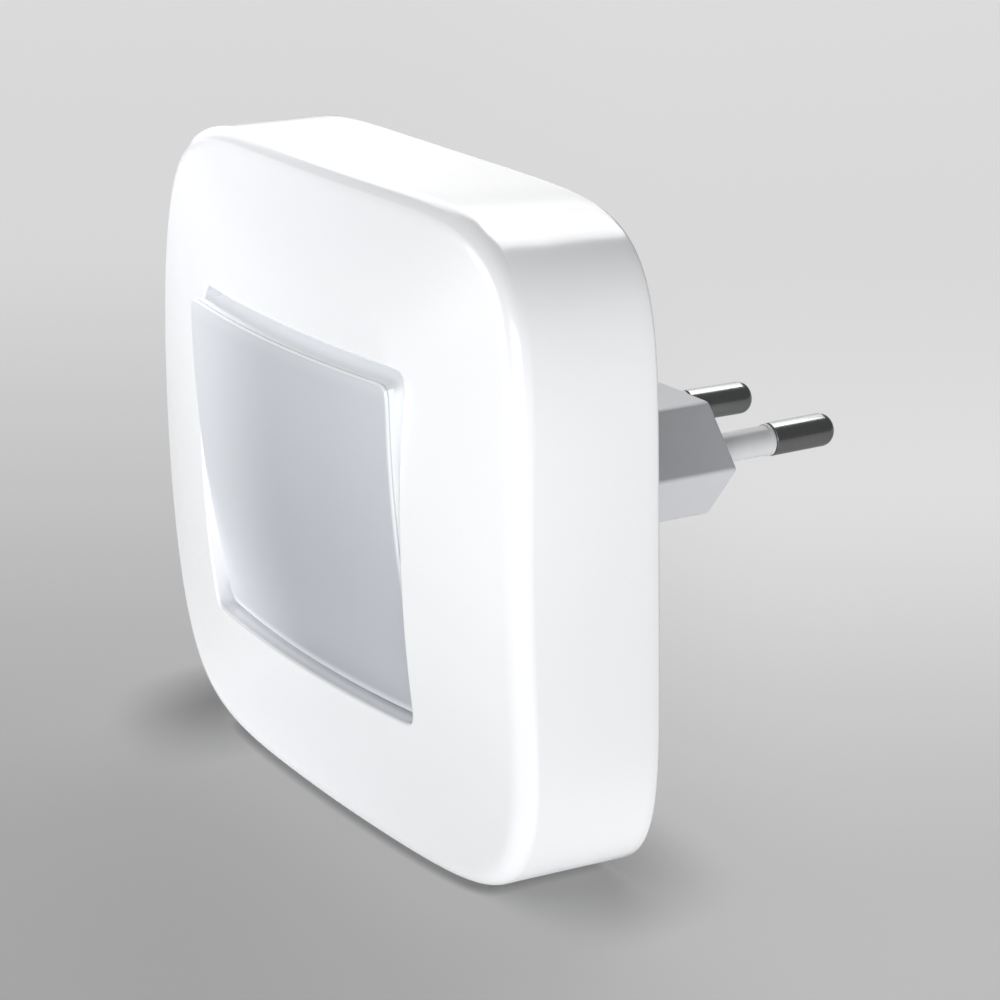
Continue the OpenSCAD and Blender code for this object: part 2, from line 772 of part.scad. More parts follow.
module rocker_body() {
    w = rocker_w - 2 * plate_step;
    h = rocker_h - 2 * plate_step;
    guide_end_y = plunger_tip_y - plunger_travel - plunger_d / 2;
    lug_x = ear_span / 2 - 1.5 * ear_t - ear_gap;
    color("white") rocker_pose() difference() {
        union() {
            difference() {
                intersection() {
                    dome_block(plate_t + seat, skirt_y);
                    slab(apex_y - over, skirt_y + over) rounded_rect(w, h, rocker_r);
                }
                intersection() {
                    dome_block(plate_t + rocker_wall, skirt_y + over);
                    slab(apex_y - over, skirt_y + 2 * over)
                        rounded_rect(w - 2 * rocker_wall, h - 2 * rocker_wall, rocker_r);
                }
            }
            for (side = [-1, 1]) translate([side * lug_x, 0, 0]) lug();
            rod(rocker_roof_y - eps, guide_end_y, plunger_d + 2 * guide_wall);
        }
        translate([0, hinge_y, 0]) cross_rod(-ear_span / 2, ear_span / 2, hinge_d + 2 * fit);
        rod(rocker_roof_y, plunger_tip_y, plunger_d + 2 * fit);
    }
}

module lug() {
    block(ear_t, 2.5 * hinge_d, rocker_roof_y - eps, hinge_y);
    translate([0, hinge_y, 0]) cross_rod(-ear_t / 2, ear_t / 2, 2.5 * hinge_d);
}

module plunger() {
    color("orange") rocker_pose() {
        rod(plunger_top_y, plunger_tip_y - plunger_d / 2, plunger_d);
        translate([0, plunger_tip_y - plunger_d / 2, 0]) sphere(d = plunger_d);
    }
}

module plunger_spring() {
    length = plunger_top_y - rocker_roof_y - spring_wire - 2 * seat;
    color("silver") rocker_pose() translate([0, plunger_top_y - spring_wire / 2 - seat, 0]) rotate([90, 0, 0])
        coil((plunger_d - spring_wire) / 2 - slack, spring_wire, length, spring_turns);
}

front_cover();
rear_cover();
plug_body();
pin_live();
pin_neutral();
pin_sleeve_live();
pin_sleeve_neutral();
contact_spring_live();
contact_spring_neutral();
circuit_board();
led_packages();
led_phosphor();
reflector_tray();
film_capacitor();
smoothing_capacitor();
bridge_rectifier();
fuse_resistor();
chip_resistors();
switch_base();
terminal_common();
terminal_load();
terminal_contact();
contact_lever();
lever_contact();
hinge_pins();
rocker_body();
rocker_plate();
plunger();
plunger_spring();
cover_screws();
switch_screws();
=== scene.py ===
import math

import bmesh
import bpy
from mathutils import Matrix, Vector


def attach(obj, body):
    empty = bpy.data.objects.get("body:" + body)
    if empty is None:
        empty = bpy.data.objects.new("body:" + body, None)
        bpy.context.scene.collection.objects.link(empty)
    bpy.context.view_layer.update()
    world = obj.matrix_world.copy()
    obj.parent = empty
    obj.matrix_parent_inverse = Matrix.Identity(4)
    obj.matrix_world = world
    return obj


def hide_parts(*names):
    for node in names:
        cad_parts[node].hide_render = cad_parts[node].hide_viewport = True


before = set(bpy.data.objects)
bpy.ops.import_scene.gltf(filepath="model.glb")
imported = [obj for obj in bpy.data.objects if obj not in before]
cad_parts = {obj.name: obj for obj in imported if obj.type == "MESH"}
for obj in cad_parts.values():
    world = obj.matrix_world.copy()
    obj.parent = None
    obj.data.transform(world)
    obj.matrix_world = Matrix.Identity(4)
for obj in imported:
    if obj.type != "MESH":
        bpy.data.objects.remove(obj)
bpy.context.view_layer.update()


# ---- Viewpoint ---------------------
# A long lens a little above the lamp and well round to its right, from where the domed
# face, the right side and the plug all show.

scene = bpy.context.scene
MM = 0.001
azimuth, elevation, roll = (math.radians(a) for a in (60.5134, 16.8605, -1.0519))
eye_distance, right_shift, down_shift, focal_length = 394.3213, 4.6673, 3.5164, 122.33
run, rise = math.cos(elevation), math.sin(elevation)
behind = Vector((math.sin(azimuth) * run, -math.cos(azimuth) * run, rise))
level = (-behind).cross(Vector((0, 0, 1))).normalized()
upright = level.cross(-behind)
across = level * math.cos(roll) + upright * math.sin(roll)
upward = upright * math.cos(roll) - level * math.sin(roll)
rim_y = -27.0
eye = Vector((0, rim_y, 0)) + right_shift * across - down_shift * upward + eye_distance * behind
lens = bpy.data.cameras.new("long_lens")
lens.sensor_width = 36
lens.lens = focal_length
lens.clip_start, lens.clip_end = 0.02, 20


def placed(name, data):
    """An object of some data, in the scene."""
    made = bpy.data.objects.new(name, data)
    scene.collection.objects.link(made)
    return made


camera = placed("camera", lens)
facing = Matrix((across, upward, behind)).transposed().to_4x4()
camera.matrix_world = Matrix.Translation(eye * MM) @ facing
scene.camera = camera


# ---- Front cover -------------------
# The opal shell of the lamp: one injection moulding in opal polycarbonate, with a
# domed face, a rounded front edge, drafted sides and a deep wall round the opening for
# the rocker. Four posts behind its face take the screws of the rear cover.


def add(tree, kind, inputs=(), **settings):
    """Adds a node with its settings, and sets or links its inputs, by name or in their order."""
    made = tree.nodes.new(kind)
    for name, value in settings.items():
        setattr(made, name, value)
    for socket, value in inputs.items() if isinstance(inputs, dict) else enumerate(inputs):
        if isinstance(value, bpy.types.Node):
            value = value.outputs[0]
        if isinstance(value, bpy.types.NodeSocket):
            tree.links.new(value, made.inputs[socket])
        else:
            made.inputs[socket].default_value = value
    return made


def colour(code):
    """The linear value of an sRGB hex colour."""
    parts = [int(code[k : k + 2], 16) / 255 for k in (1, 3, 5)]
    return [*(p / 12.92 if p <= 0.04045 else ((p + 0.055) / 1.055) ** 2.4 for p in parts), 1.0]


def finish_of(name):
    """An empty material, its tree, and the place of a point on its piece."""
    made = bpy.data.materials.new(name)
    made.use_nodes = True
    tree = made.node_tree
    tree.nodes.clear()
    return made, tree, add(tree, "ShaderNodeTexCoord").outputs["Object"]


def surface(tree, shader):
    add(tree, "ShaderNodeOutputMaterial", {"Surface": shader})


# Opal polycarbonate with a soft gloss: an even milky white, highlights with blurred
# edges, a very faint ripple in its reflections, and a glow through the face from the
# diodes behind it, strongest towards the left and along the rounded edge. The glow is
# shaped as painted light and shade: painted light to the left and at the top, painted
# shade low down and in a grey band on the upper part of the rounded edge.
opal, t, place = finish_of("opal_polycarbonate_soft_gloss")
ripple = add(t, "ShaderNodeTexNoise", {"Vector": place, "Scale": 55.0, "Detail": 1.0})
relief = add(t, "ShaderNodeBump", {"Height": ripple, "Strength": 0.012, "Distance": 0.001})
bloom = add(t, "ShaderNodeTexNoise", {"Vector": place, "Scale": 900.0, "Detail": 2.0})
rough = add(t, "ShaderNodeMapRange", {
    "Value": bloom, "From Min": 0.3, "From Max": 0.7, "To Min": 0.20, "To Max": 0.25})
lit = add(t, "ShaderNodeAttribute", attribute_name="lit")
spot = add(t, "ShaderNodeSeparateXYZ", {"Vector": place})
# Painted light: the glow is strongest to the left and falls off to the right.
glow_with_painted_left_light = add(t, "ShaderNodeMapRange", {
    "Value": spot.outputs["X"], "From Min": -0.044, "From Max": 0.035, "To Min": 0.50,
    "To Max": 0.165}, interpolation_type="SMOOTHSTEP")
# Painted light and shade: brighter towards the top, a little darker low down.
painted_light_by_height = add(t, "ShaderNodeMapRange", {
    "Value": spot.outputs["Z"], "From Min": -0.030, "From Max": 0.025, "To Min": -0.05,
    "To Max": 0.08}, interpolation_type="SMOOTHSTEP")
glow = add(t, "ShaderNodeMath", (glow_with_painted_left_light, painted_light_by_height), operation="ADD")
# Painted shade: a grey band on the upper part of the rounded front edge, where the profile's lit is
# above 1.
rounding = add(t, "ShaderNodeMapRange", {
    "Value": lit.outputs["Fac"], "From Min": 1.0, "From Max": 1.7})
upper_edge_painted_shade = add(t, "ShaderNodeMapRange", {
    "Value": spot.outputs["Z"], "From Min": 0.020, "From Max": 0.034, "To Max": 0.3})
shade = add(t, "ShaderNodeMath", (rounding, upper_edge_painted_shade), operation="MULTIPLY")
shade = add(t, "ShaderNodeMath", (shade, -1.0, 1.0), operation="MULTIPLY_ADD")
share = add(t, "ShaderNodeMath", (lit.outputs["Fac"], 1.0), operation="MINIMUM")
share = add(t, "ShaderNodeMath", (share, shade), operation="MULTIPLY")
glow = add(t, "ShaderNodeMath", (share, glow), operation="MULTIPLY")
surface(t, add(t, "ShaderNodeBsdfPrincipled", {
    "Base Color": colour("#f3f4f6"), "Roughness": rough, "IOR": 1.585, "Normal": relief,
    "Coat Weight": 1.0, "Coat Roughness": 0.20, "Coat IOR": 1.5,
    "Emission Color": colour("#f8f9fd"), "Emission Strength": glow}))


def growing(name, inputs, outputs=(("Geometry", "Geometry"),)):
    """An empty Geometry Nodes tree with named inputs and outputs, and what it is given."""
    tree = bpy.data.node_groups.new(name, "GeometryNodeTree")
    for way, sockets in (("INPUT", inputs), ("OUTPUT", outputs)):
        for label, kind in sockets:
            tree.interface.new_socket(label, in_out=way, socket_type="NodeSocket" + kind)
    return tree, add(tree, "NodeGroupInput").outputs


# One closed curve of the lamp: |x/a|^n + |z/b|^m = 1, with its points gathered towards
# the corners.
curve_form = ("Half Width", "Half Height", "Square X", "Square Z")
squircle, given = growing(
    "Squircle", [(label, "Float") for label in ("Turn", *curve_form)],
    (("Point", "Vector"), ("Normal", "Vector")))
t = squircle
quarter = add(t, "ShaderNodeMath", (given["Turn"], 4.0), operation="MULTIPLY")
climb = add(t, "ShaderNodeMath", (quarter, 1.0), operation="PINGPONG")
centred = add(t, "ShaderNodeMath", (climb, 2.0, -1.0), operation="MULTIPLY_ADD")
gathering = 1.7
reach = add(t, "ShaderNodeMath", (centred,), operation="ABSOLUTE")
reach = add(t, "ShaderNodeMath", (reach, gathering), operation="POWER")
sign = add(t, "ShaderNodeMath", (centred,), operation="SIGN")
signed = add(t, "ShaderNodeMath", (reach, sign), operation="MULTIPLY")
share = add(t, "ShaderNodeMath", (signed, 0.5, 0.5), operation="MULTIPLY_ADD")
rest = add(t, "ShaderNodeMath", (1.0, share), operation="SUBTRACT")
half_m = add(t, "ShaderNodeMath", (given["Square Z"], 0.5), operation="MULTIPLY")
half_n = add(t, "ShaderNodeMath", (given["Square X"], 0.5), operation="MULTIPLY")
rise = add(t, "ShaderNodeMath", (share, half_m), operation="POWER")
fall = add(t, "ShaderNodeMath", (rest, half_n), operation="POWER")
both = add(t, "ShaderNodeMath", (rise, fall), operation="ADD")
ends = {}
for name, part, power in (("Z", rise, half_m), ("X", fall, half_n)):
    angle = add(t, "ShaderNodeMath", (part, both), operation="DIVIDE")
    angle = add(t, "ShaderNodeMath", (angle, math.pi / 2), operation="MULTIPLY")
    sine = add(t, "ShaderNodeMath", (angle,), operation="SINE")
    root = add(t, "ShaderNodeMath", (1.0, power), operation="DIVIDE")
    ends[name] = add(t, "ShaderNodeMath", (sine, root), operation="POWER")
whole = add(t, "ShaderNodeMath", (given["Turn"], math.tau), operation="MULTIPLY")
place, slope = {}, {}
for name, wave, half in (("X", "COSINE", "Half Width"), ("Z", "SINE", "Half Height")):
    square = "Square " + name
    sign = add(t, "ShaderNodeMath", (whole,), operation=wave)
    sign = add(t, "ShaderNodeMath", (sign,), operation="SIGN")
    unit = add(t, "ShaderNodeMath", (ends[name], sign), operation="MULTIPLY")
    place[name] = add(t, "ShaderNodeMath", (unit, given[half]), operation="MULTIPLY")
    less = add(t, "ShaderNodeMath", (given[square], 1.0), operation="SUBTRACT")
    steep = add(t, "ShaderNodeMath", (ends[name], less), operation="POWER")
    scale = add(t, "ShaderNodeMath", (given[square], given[half]), operation="DIVIDE")
    steep = add(t, "ShaderNodeMath", (steep, sign), operation="MULTIPLY")
    slope[name] = add(t, "ShaderNodeMath", (steep, scale), operation="MULTIPLY")
gradient = add(t, "ShaderNodeCombineXYZ", slope)
add(t, "NodeGroupOutput", {
    "Point": add(t, "ShaderNodeCombineXYZ", place),
    "Normal": add(t, "ShaderNodeVectorMath", (gradient,), operation="NORMALIZE")})

# A moulding carries its profile round squircles: the outer one, the one in its middle,
# and the squarer one at its rear rim, which is drawn in as a whole. A point of the
# profile holds, in mm, how far it lies in from the curve and its depth behind the rim or
# under the dome, and then its shares of the way to the middle curve and to the rear one.
sizes = (*curve_form, *("Middle " + label for label in curve_form), "Rear Square Z",
         "Dome Half Width", "Dome Half Height", "Rim", "Corner Depth", "Edge Crown", "Dome Crown")
moulding, given = growing("Moulding", [
    ("Geometry", "Geometry"), *((label, "Float") for label in sizes),
    ("Around", "Int"), ("Material", "Material")])
t = moulding
count = add(t, "GeometryNodeAttributeDomainSize", {
    "Geometry": given["Geometry"]}, component="MESH").outputs["Point Count"]
columns = add(t, "ShaderNodeMath", (given["Around"], 1.0), operation="ADD")
sheet = add(t, "GeometryNodeMeshGrid", {
    "Size X": 1.0, "Size Y": 1.0, "Vertices X": columns, "Vertices Y": count})
cell = add(t, "ShaderNodeSeparateXYZ", {"Vector": add(t, "GeometryNodeInputPosition")}).outputs
turn = add(t, "ShaderNodeMath", (cell["X"], 0.5), operation="ADD")
last = add(t, "ShaderNodeMath", (count, 1.0), operation="SUBTRACT")
row = add(t, "ShaderNodeMath", (cell["Y"], 0.5), operation="ADD")
row = add(t, "ShaderNodeMath", (row, last), operation="MULTIPLY")
row = add(t, "ShaderNodeMath", (row,), operation="ROUND")
profile = add(t, "GeometryNodeSampleIndex", {
    "Geometry": given["Geometry"], "Value": add(t, "GeometryNodeInputPosition"), "Index": row},
    data_type="FLOAT_VECTOR")
inset, depth, inward = add(t, "ShaderNodeSeparateXYZ", {"Vector": profile}).outputs
extra = {}
for label in ("on_dome", "anchor", "lit", "rear"):
    named = add(t, "GeometryNodeInputNamedAttribute", {"Name": label}, data_type="FLOAT")
    extra[label] = add(t, "GeometryNodeSampleIndex", {
        "Geometry": given["Geometry"], "Value": named, "Index": row}, data_type="FLOAT")
outer, middle, back = (add(t, "GeometryNodeGroup", node_tree=squircle) for _ in range(3))
for curve, prefix in ((outer, ""), (middle, "Middle "), (back, "Rear ")):
    t.links.new(turn.outputs[0], curve.inputs["Turn"])
    for label in curve_form:
        own = prefix + label if prefix + label in given else label
        t.links.new(given[own], curve.inputs[label])
reached = []
for distance in (inset, extra["anchor"]):
    moved = []
    for curve in (outer, middle):
        point, normal = curve.outputs
        step = add(t, "ShaderNodeVectorMath", {0: normal, "Scale": distance}, operation="SCALE")
        moved.append(add(t, "ShaderNodeVectorMath", (point, step), operation="SUBTRACT"))
    blend = add(t, "ShaderNodeMix", {0: inward, 4: moved[0], 5: moved[1]}, data_type="VECTOR")
    reached.append(blend.outputs[1])
for label in ("Half Width", "Half Height"):
    smaller = add(t, "ShaderNodeMath", (given[label], inset), operation="SUBTRACT")
    t.links.new(smaller.outputs[0], back.inputs[label])
reached[0] = add(t, "ShaderNodeMix", {
    0: extra["rear"], 4: reached[0], 5: back.outputs["Point"]}, data_type="VECTOR").outputs[1]
fallen = []
for axis, half in (("X", "Dome Half Width"), ("Z", "Dome Half Height")):
    out = add(t, "ShaderNodeSeparateXYZ", {"Vector": reached[1]}).outputs[axis]
    ratio = add(t, "ShaderNodeMath", (out, given[half]), operation="DIVIDE")
    square = add(t, "ShaderNodeMath", (ratio, ratio), operation="MULTIPLY")
    fallen.append(add(t, "ShaderNodeMath", (1.0, square), operation="SUBTRACT"))
top = given["Corner Depth"]
for way, crown in (("ADD", "Edge Crown"), ("MULTIPLY", "Dome Crown")):
    joined = add(t, "ShaderNodeMath", fallen, operation=way)
    top = add(t, "ShaderNodeMath", (joined, given[crown], top), operation="MULTIPLY_ADD")
under = add(t, "ShaderNodeMath", (top, extra["on_dome"]), operation="MULTIPLY")
y = add(t, "ShaderNodeMath", (depth, under), operation="SUBTRACT")
y = add(t, "ShaderNodeMath", (y, given["Rim"]), operation="ADD")
flat = add(t, "ShaderNodeSeparateXYZ", {"Vector": reached[0]}).outputs
spot = add(t, "ShaderNodeCombineXYZ", {"X": flat["X"], "Y": y, "Z": flat["Z"]})
marked = add(t, "GeometryNodeStoreNamedAttribute", {
    "Geometry": sheet.outputs["Mesh"], "Name": "lit", "Value": extra["lit"]}, data_type="FLOAT",
    domain="POINT")
bent = add(t, "GeometryNodeSetPosition", {"Geometry": marked, "Position": spot})
same_place, sharp_from = 0.004, math.radians(30)
closed = add(t, "GeometryNodeMergeByDistance", {"Geometry": bent, "Distance": same_place})
bend = add(t, "GeometryNodeInputMeshEdgeAngle").outputs["Unsigned Angle"]
gentle = add(t, "FunctionNodeCompare", (bend, sharp_from), data_type="FLOAT", operation="LESS_THAN")
rounded = add(t, "GeometryNodeSetShadeSmooth", {
    "Geometry": closed, "Shade Smooth": True}, domain="FACE")
rounded = add(t, "GeometryNodeSetShadeSmooth", {
    "Geometry": rounded, "Shade Smooth": gentle}, domain="EDGE")
sized = add(t, "GeometryNodeTransform", {"Geometry": rounded, "Scale": (MM, MM, MM)})
painted = add(t, "GeometryNodeSetMaterial", {"Geometry": sized, "Material": given["Material"]})
real = add(t, "GeometryNodeRealizeInstances", {"Geometry": painted})
add(t, "NodeGroupOutput", {"Geometry": real})


def grown(name, tree, seed, values):
    """A plain mesh object: a tree run on a seed mesh, with its inputs set by their identifiers."""
    holder = placed(name + "_seed", seed)
    modifier = holder.modifiers.new("grow", "NODES")
    modifier.node_group = tree
    for item in tree.interface.items_tree:
        if item.item_type == "SOCKET" and item.in_out == "INPUT" and item.name in values:
            modifier[item.identifier] = values[item.name]
    evaluated = holder.evaluated_get(bpy.context.evaluated_depsgraph_get())
    mesh = bpy.data.meshes.new_from_object(evaluated)
    holder.modifiers.remove(modifier)
    bpy.data.objects.remove(holder)
    mesh.name = name
    return placed(name, mesh)


def profile_mesh(name, points):
    """A profile's points as loose vertices: inset, depth, share, on dome, anchor, lit, rear."""
    seed = bpy.data.meshes.new(name)
    seed.from_pydata([p[:3] for p in points], [], [])
    for k, label in ((3, "on_dome"), (4, "anchor"), (5, "lit"), (6, "rear")):
        values = seed.attributes.new(label, "FLOAT", "POINT")
        values.data.foreach_set("value", [p[k] for p in points])
    return seed


def outwards(made):
    """Turns the faces of a closed piece outwards."""
    work = bmesh.new()
    work.from_mesh(made.data)
    bmesh.ops.recalc_face_normals(work, faces=work.faces)
    work.to_mesh(made.data)
    work.free()


def arc(steps):
    """The cosine and sine of a quarter turn, from 0 to 90 degrees in equal steps."""
    turns = [math.radians(90 * k / steps) for k in range(steps + 1)]
    return [(math.cos(a), math.sin(a)) for a in turns]


half_w, half_h = 44.0, 38.2
edge_r, rear_r, draft, wall, side_l = 2.3, 0.5, 0.4, 2.0, 15.0
lip_r, well_wall, well_back, inner_r = 0.4, 1.6, -11.0, 0.4
# How much glow each band of the profile takes: the sides and the rear rim get less, as painted
# shade.
rear_lit, edge_lit = 0.5, 0.8
dome_form = {"Dome Half Width": half_w, "Dome Half Height": half_h, "Rim": rim_y,
             "Corner Depth": 15.3, "Edge Crown": 2.2, "Dome Crown": 3.4}
cover_profile = []
for c, s in arc(4):                                         # rear edge
    cover_profile.append((draft + rear_r * (1 - s), -rear_r * (1 - c), 0, 0, 0, rear_lit, 1))
for d in (1.5, 4.0, 7.0, 10.0):                             # side wall
    lit = rear_lit + 0.3 * d / side_l
    cover_profile.append((draft * (1 - d / side_l), -d, 0, 0, 0, lit, 1 - d / side_l))
cover_profile.append((0.006, edge_r + 0.25, 0, 1, edge_r, edge_lit, 0.015))
# A lit above 1 on the rounded edge marks where the finish paints its grey shade band at the top.
for k, (c, s) in enumerate(arc(12)):                        # rounded front edge
    lit = edge_lit + 0.2 * s + (1 if 0 < k < 9 else 0)
    cover_profile.append(
        (edge_r * (1 - c), edge_r * (1 - s), 0, 1, edge_r * (1 - c + c * c), lit, 0))
for s in (                                                  # dome
        0.012, 0.03, 0.08, 0.16, 0.25, 0.34, 0.43, 0.52, 0.61, 0.70, 0.79, 0.87, 0.93, 0.97, 0.99):
    d = edge_r * (1 - s) - lip_r * s
    cover_profile.append((d, 0, s, 1, d, 1, 0))
for k, (c, s) in enumerate(arc(5)):                         # lip of the opening
    cover_profile.append(
        (-lip_r * (1 - s), lip_r * (1 - c), 1, 1, -lip_r * (1 - s), 1 - 0.16 * k, 0))
# The wall of the opening takes a dim painted glow and then none, which paints a dark shade line in
# the gap behind the rocker plate.
for d, lit in ((0.6, 0.24), (2.35, 0.24), (2.45, 0), (5.0, 0)):      # wall of the opening
    cover_profile.append((0, d, 1, 1, 0, lit, 0))
cover_profile.append((0, well_back, 1, 0, 0, 0, 0))
cover_profile.append((-well_wall, well_back, 1, 0, 0, 0, 0))
cover_profile.append((-well_wall, wall, 1, 1, -well_wall, 0, 0))
for s in (0.9, 0.75, 0.6, 0.45, 0.3, 0.15, 0.05):           # inner side of the dome
    d = (wall + inner_r) * (1 - s) - well_wall * s
    cover_profile.append((d, wall, s, 1, d, 0, 0))
for c, s in arc(3):                                         # inner corner
    cover_profile.append(
        (wall + inner_r * (1 - s), wall + inner_r * (1 - c), 0, 1, wall + inner_r, 0, 0))
cover_profile.append((wall + draft, 0, 0, 0, 0, 0, 1))
cover_profile.append(cover_profile[0])
front_cover = grown("front_cover_shell", moulding, profile_mesh("cover_profile", cover_profile), {
    **dome_form, "Half Width": half_w, "Half Height": half_h, "Square X": 6.4, "Square Z": 4.2,
    "Middle Half Width": 24.8, "Middle Half Height": 19.9, "Middle Square X": 36.0,
    "Middle Square Z": 29.0, "Rear Square Z": 5.9, "Around": 256, "Material": opal})
outwards(front_cover)
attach(front_cover, "housing")
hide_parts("front_cover")


# ---- Rocker plate ------------------
# The face of the switch: a thin white moulding with a satin grey lacquer on its front,
# bonded to the white rocker. It has the same dome as the lamp and a soft edge, and
# stands tilted 6 degrees, with its lower end pressed in.

# Soft grey lacquer on white ABS: a cool satin sheen with a grain too fine to pick out,
# the bare white of the moulding on its sides, painted shade in the joint line along its
# upper side, darkest to the left, and painted light over the face: brighter to the left
# and at the top, painted highlights along its edges, and painted shade on its lower side.
rocker_grey, t, place = finish_of("abs_lacquered_grey_satin")
grain = add(t, "ShaderNodeTexNoise", {"Vector": place, "Scale": 2600.0, "Detail": 2.0})
relief = add(t, "ShaderNodeBump", {"Height": grain, "Strength": 0.05, "Distance": 0.0002})
cloud = add(t, "ShaderNodeTexNoise", {"Vector": place, "Scale": 40.0, "Detail": 1.0})
tint = add(t, "ShaderNodeMix", {
    0: cloud, 6: colour("#b9bdc4"), 7: colour("#bec2c8")}, data_type="RGBA")
coated = add(t, "ShaderNodeAttribute", attribute_name="lit")
tint = add(t, "ShaderNodeMix", {
    0: coated.outputs["Fac"], 6: colour("#e8eaeb"), 7: tint.outputs[2]}, data_type="RGBA")
spot = add(t, "ShaderNodeSeparateXYZ", {"Vector": place})
along = add(t, "ShaderNodeMapRange", {
    "Value": spot.outputs["X"], "From Min": -0.022, "From Max": 0.016, "To Min": 1.0,
    "To Max": 0.25})
# Painted shade in the joint line: only along the top side, darkest to the left.
top_side = add(t, "ShaderNodeMapRange", {
    "Value": spot.outputs["Z"], "From Min": 0.016, "From Max": 0.018, "To Max": along})
joint_painted_shade = add(t, "ShaderNodeMapRange", {
    "Value": coated.outputs["Fac"], "From Min": 1.0, "From Max": 2.0, "To Max": top_side})
tint = add(t, "ShaderNodeMix", {
    0: joint_painted_shade, 6: tint.outputs[2], 7: colour("#7a7d82")}, data_type="RGBA")
rough = add(t, "ShaderNodeMapRange", {"Value": grain, "To Min": 0.28, "To Max": 0.38})
# Painted light on the plate: a faint base glow, more to the left and towards the top, and painted
# highlights along its top, bottom and right edges.
painted_light = 0.045
for axis, low, high, at_low, at_high in (
        ("X", -0.026, 0.002, 0.30, 0.0), ("X", 0.008, 0.026, 0.0, 0.03),
        ("Z", -0.010, 0.022, 0.0, 0.125), ("Z", 0.0164, 0.0186, 0.0, 0.05),
        ("Z", -0.0194, -0.0184, 0.22, 0.0)):
    painted_band = add(t, "ShaderNodeMapRange", {
        "Value": spot.outputs[axis], "From Min": low, "From Max": high, "To Min": at_low,
        "To Max": at_high}, interpolation_type="SMOOTHSTEP")
    painted_light = add(t, "ShaderNodeMath", (painted_band, painted_light), operation="ADD")
bare = add(t, "ShaderNodeMath", (1.0, coated.outputs["Fac"]), operation="SUBTRACT")
fade = add(t, "ShaderNodeMath", (coated.outputs["Fac"], bare), operation="MULTIPLY")
fade = add(t, "ShaderNodeMath", (fade, 0.0), operation="MAXIMUM")
# Painted highlight along the top edge, where the lacquer fades.
top_edge_highlight = add(t, "ShaderNodeMapRange", {
    "Value": spot.outputs["Z"], "From Min": 0.016, "From Max": 0.018, "To Max": 0.65})
painted_light = add(t, "ShaderNodeMath", (fade, top_edge_highlight, painted_light), operation="MULTIPLY_ADD")
# Painted shade: the bare lower side of the plate gets no glow.
low_side = add(t, "ShaderNodeMath", (spot.outputs["Z"], -0.017), operation="LESS_THAN")
lower_side_shade = add(t, "ShaderNodeMath", (bare, low_side), operation="MULTIPLY")
unshaded = add(t, "ShaderNodeMath", (1.0, lower_side_shade), operation="SUBTRACT")
painted_light = add(t, "ShaderNodeMath", (painted_light, unshaded), operation="MULTIPLY")
surface(t, add(t, "ShaderNodeBsdfPrincipled", {
    "Base Color": tint.outputs[2], "Roughness": rough, "IOR": 1.53, "Normal": relief,
    "Emission Color": colour("#f3f5f9"), "Emission Strength": painted_light}))

plate_t, plate_edge = 1.2, 0.3
plate_profile = [(0, 0, 1, 1, 0, 1, 0)]
for s in (0.9, 0.75, 0.6, 0.45, 0.3, 0.15, 0.06, 0.02):
    plate_profile.append((plate_edge * (1 - s), 0, s, 1, plate_edge * (1 - s), 1, 0))
# The paler edge where the lacquer thins out also serves as a painted highlight round the plate.
for k, (c, s) in enumerate(arc(9)):                         # soft edge, where the lacquer thins out
    lit = max(0, 1 - max(0, k - 2) / 5)
    plate_profile.append(
        (plate_edge * (1 - s), plate_edge * (1 - c), 0, 1, plate_edge * (1 - s), lit, 0))
# The groove's lit of 2 marks where the painted shade of the joint line goes.
groove = ((0.33, 0, 0), (0.34, 0.01, 2), (0.36, 0.035, 2),
          (0.46, 0.035, 2), (0.48, 0.01, 2), (0.50, 0, 0))
for d, inset, lit in (*groove, (plate_t, 0, 0)):            # joint line round the side
    plate_profile.append((inset, d, 0, 1, inset, lit, 0))
for s in (0.3, 0.6, 1):
    plate_profile.append((0, plate_t, s, 1, 0, 0, 0))
rocker_plate = grown("rocker_plate_face", moulding, profile_mesh("plate_profile", plate_profile), {
    **dome_form, "Half Width": 24.45, "Half Height": 19.25, "Square X": 46.0, "Square Z": 36.0,
    "Middle Half Width": 0.0005, "Middle Half Height": 0.0005, "Middle Square X": 2.0,
    "Middle Square Z": 2.0, "Rear Square Z": 36.0, "Around": 192, "Material": rocker_grey})
outwards(rocker_plate)
hinge, rest_tilt = Vector((0, -43.215, 0)) * MM, math.radians(6)
to_hinge, tilt = Matrix.Translation(hinge), Matrix.Rotation(rest_tilt, 4, "X")
rocker_plate.data.transform(to_hinge @ tilt @ to_hinge.inverted())
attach(rocker_plate, "rocker")
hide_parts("rocker_plate")


# ---- Rocker ------------------------
# The white body of the switch under its grey plate: an ABS moulding with a skirt, two
# lugs on the hinge and a tube for the sprung plunger.

# Thin translucent ABS from a plain tool: white with a satin sheen, a barely visible grain,
# and a painted glow through its skirt, left out low down as painted shade where the
# rocker is pressed in.
lucent_abs, t, place = finish_of("white_abs_translucent")
grain = add(t, "ShaderNodeTexNoise", {"Vector": place, "Scale": 2200.0, "Detail": 2.0})
relief = add(t, "ShaderNodeBump", {"Height": grain, "Strength": 0.05, "Distance": 0.0002})
cloud = add(t, "ShaderNodeTexNoise", {"Vector": place, "Scale": 30.0, "Detail": 1.0})
tint = add(t, "ShaderNodeMix", {
    0: cloud, 6: colour("#eceded"), 7: colour("#f1f2f2")}, data_type="RGBA")
rough = add(t, "ShaderNodeMapRange", {"Value": grain, "To Min": 0.30, "To Max": 0.40})
spot = add(t, "ShaderNodeSeparateXYZ", {"Vector": place})
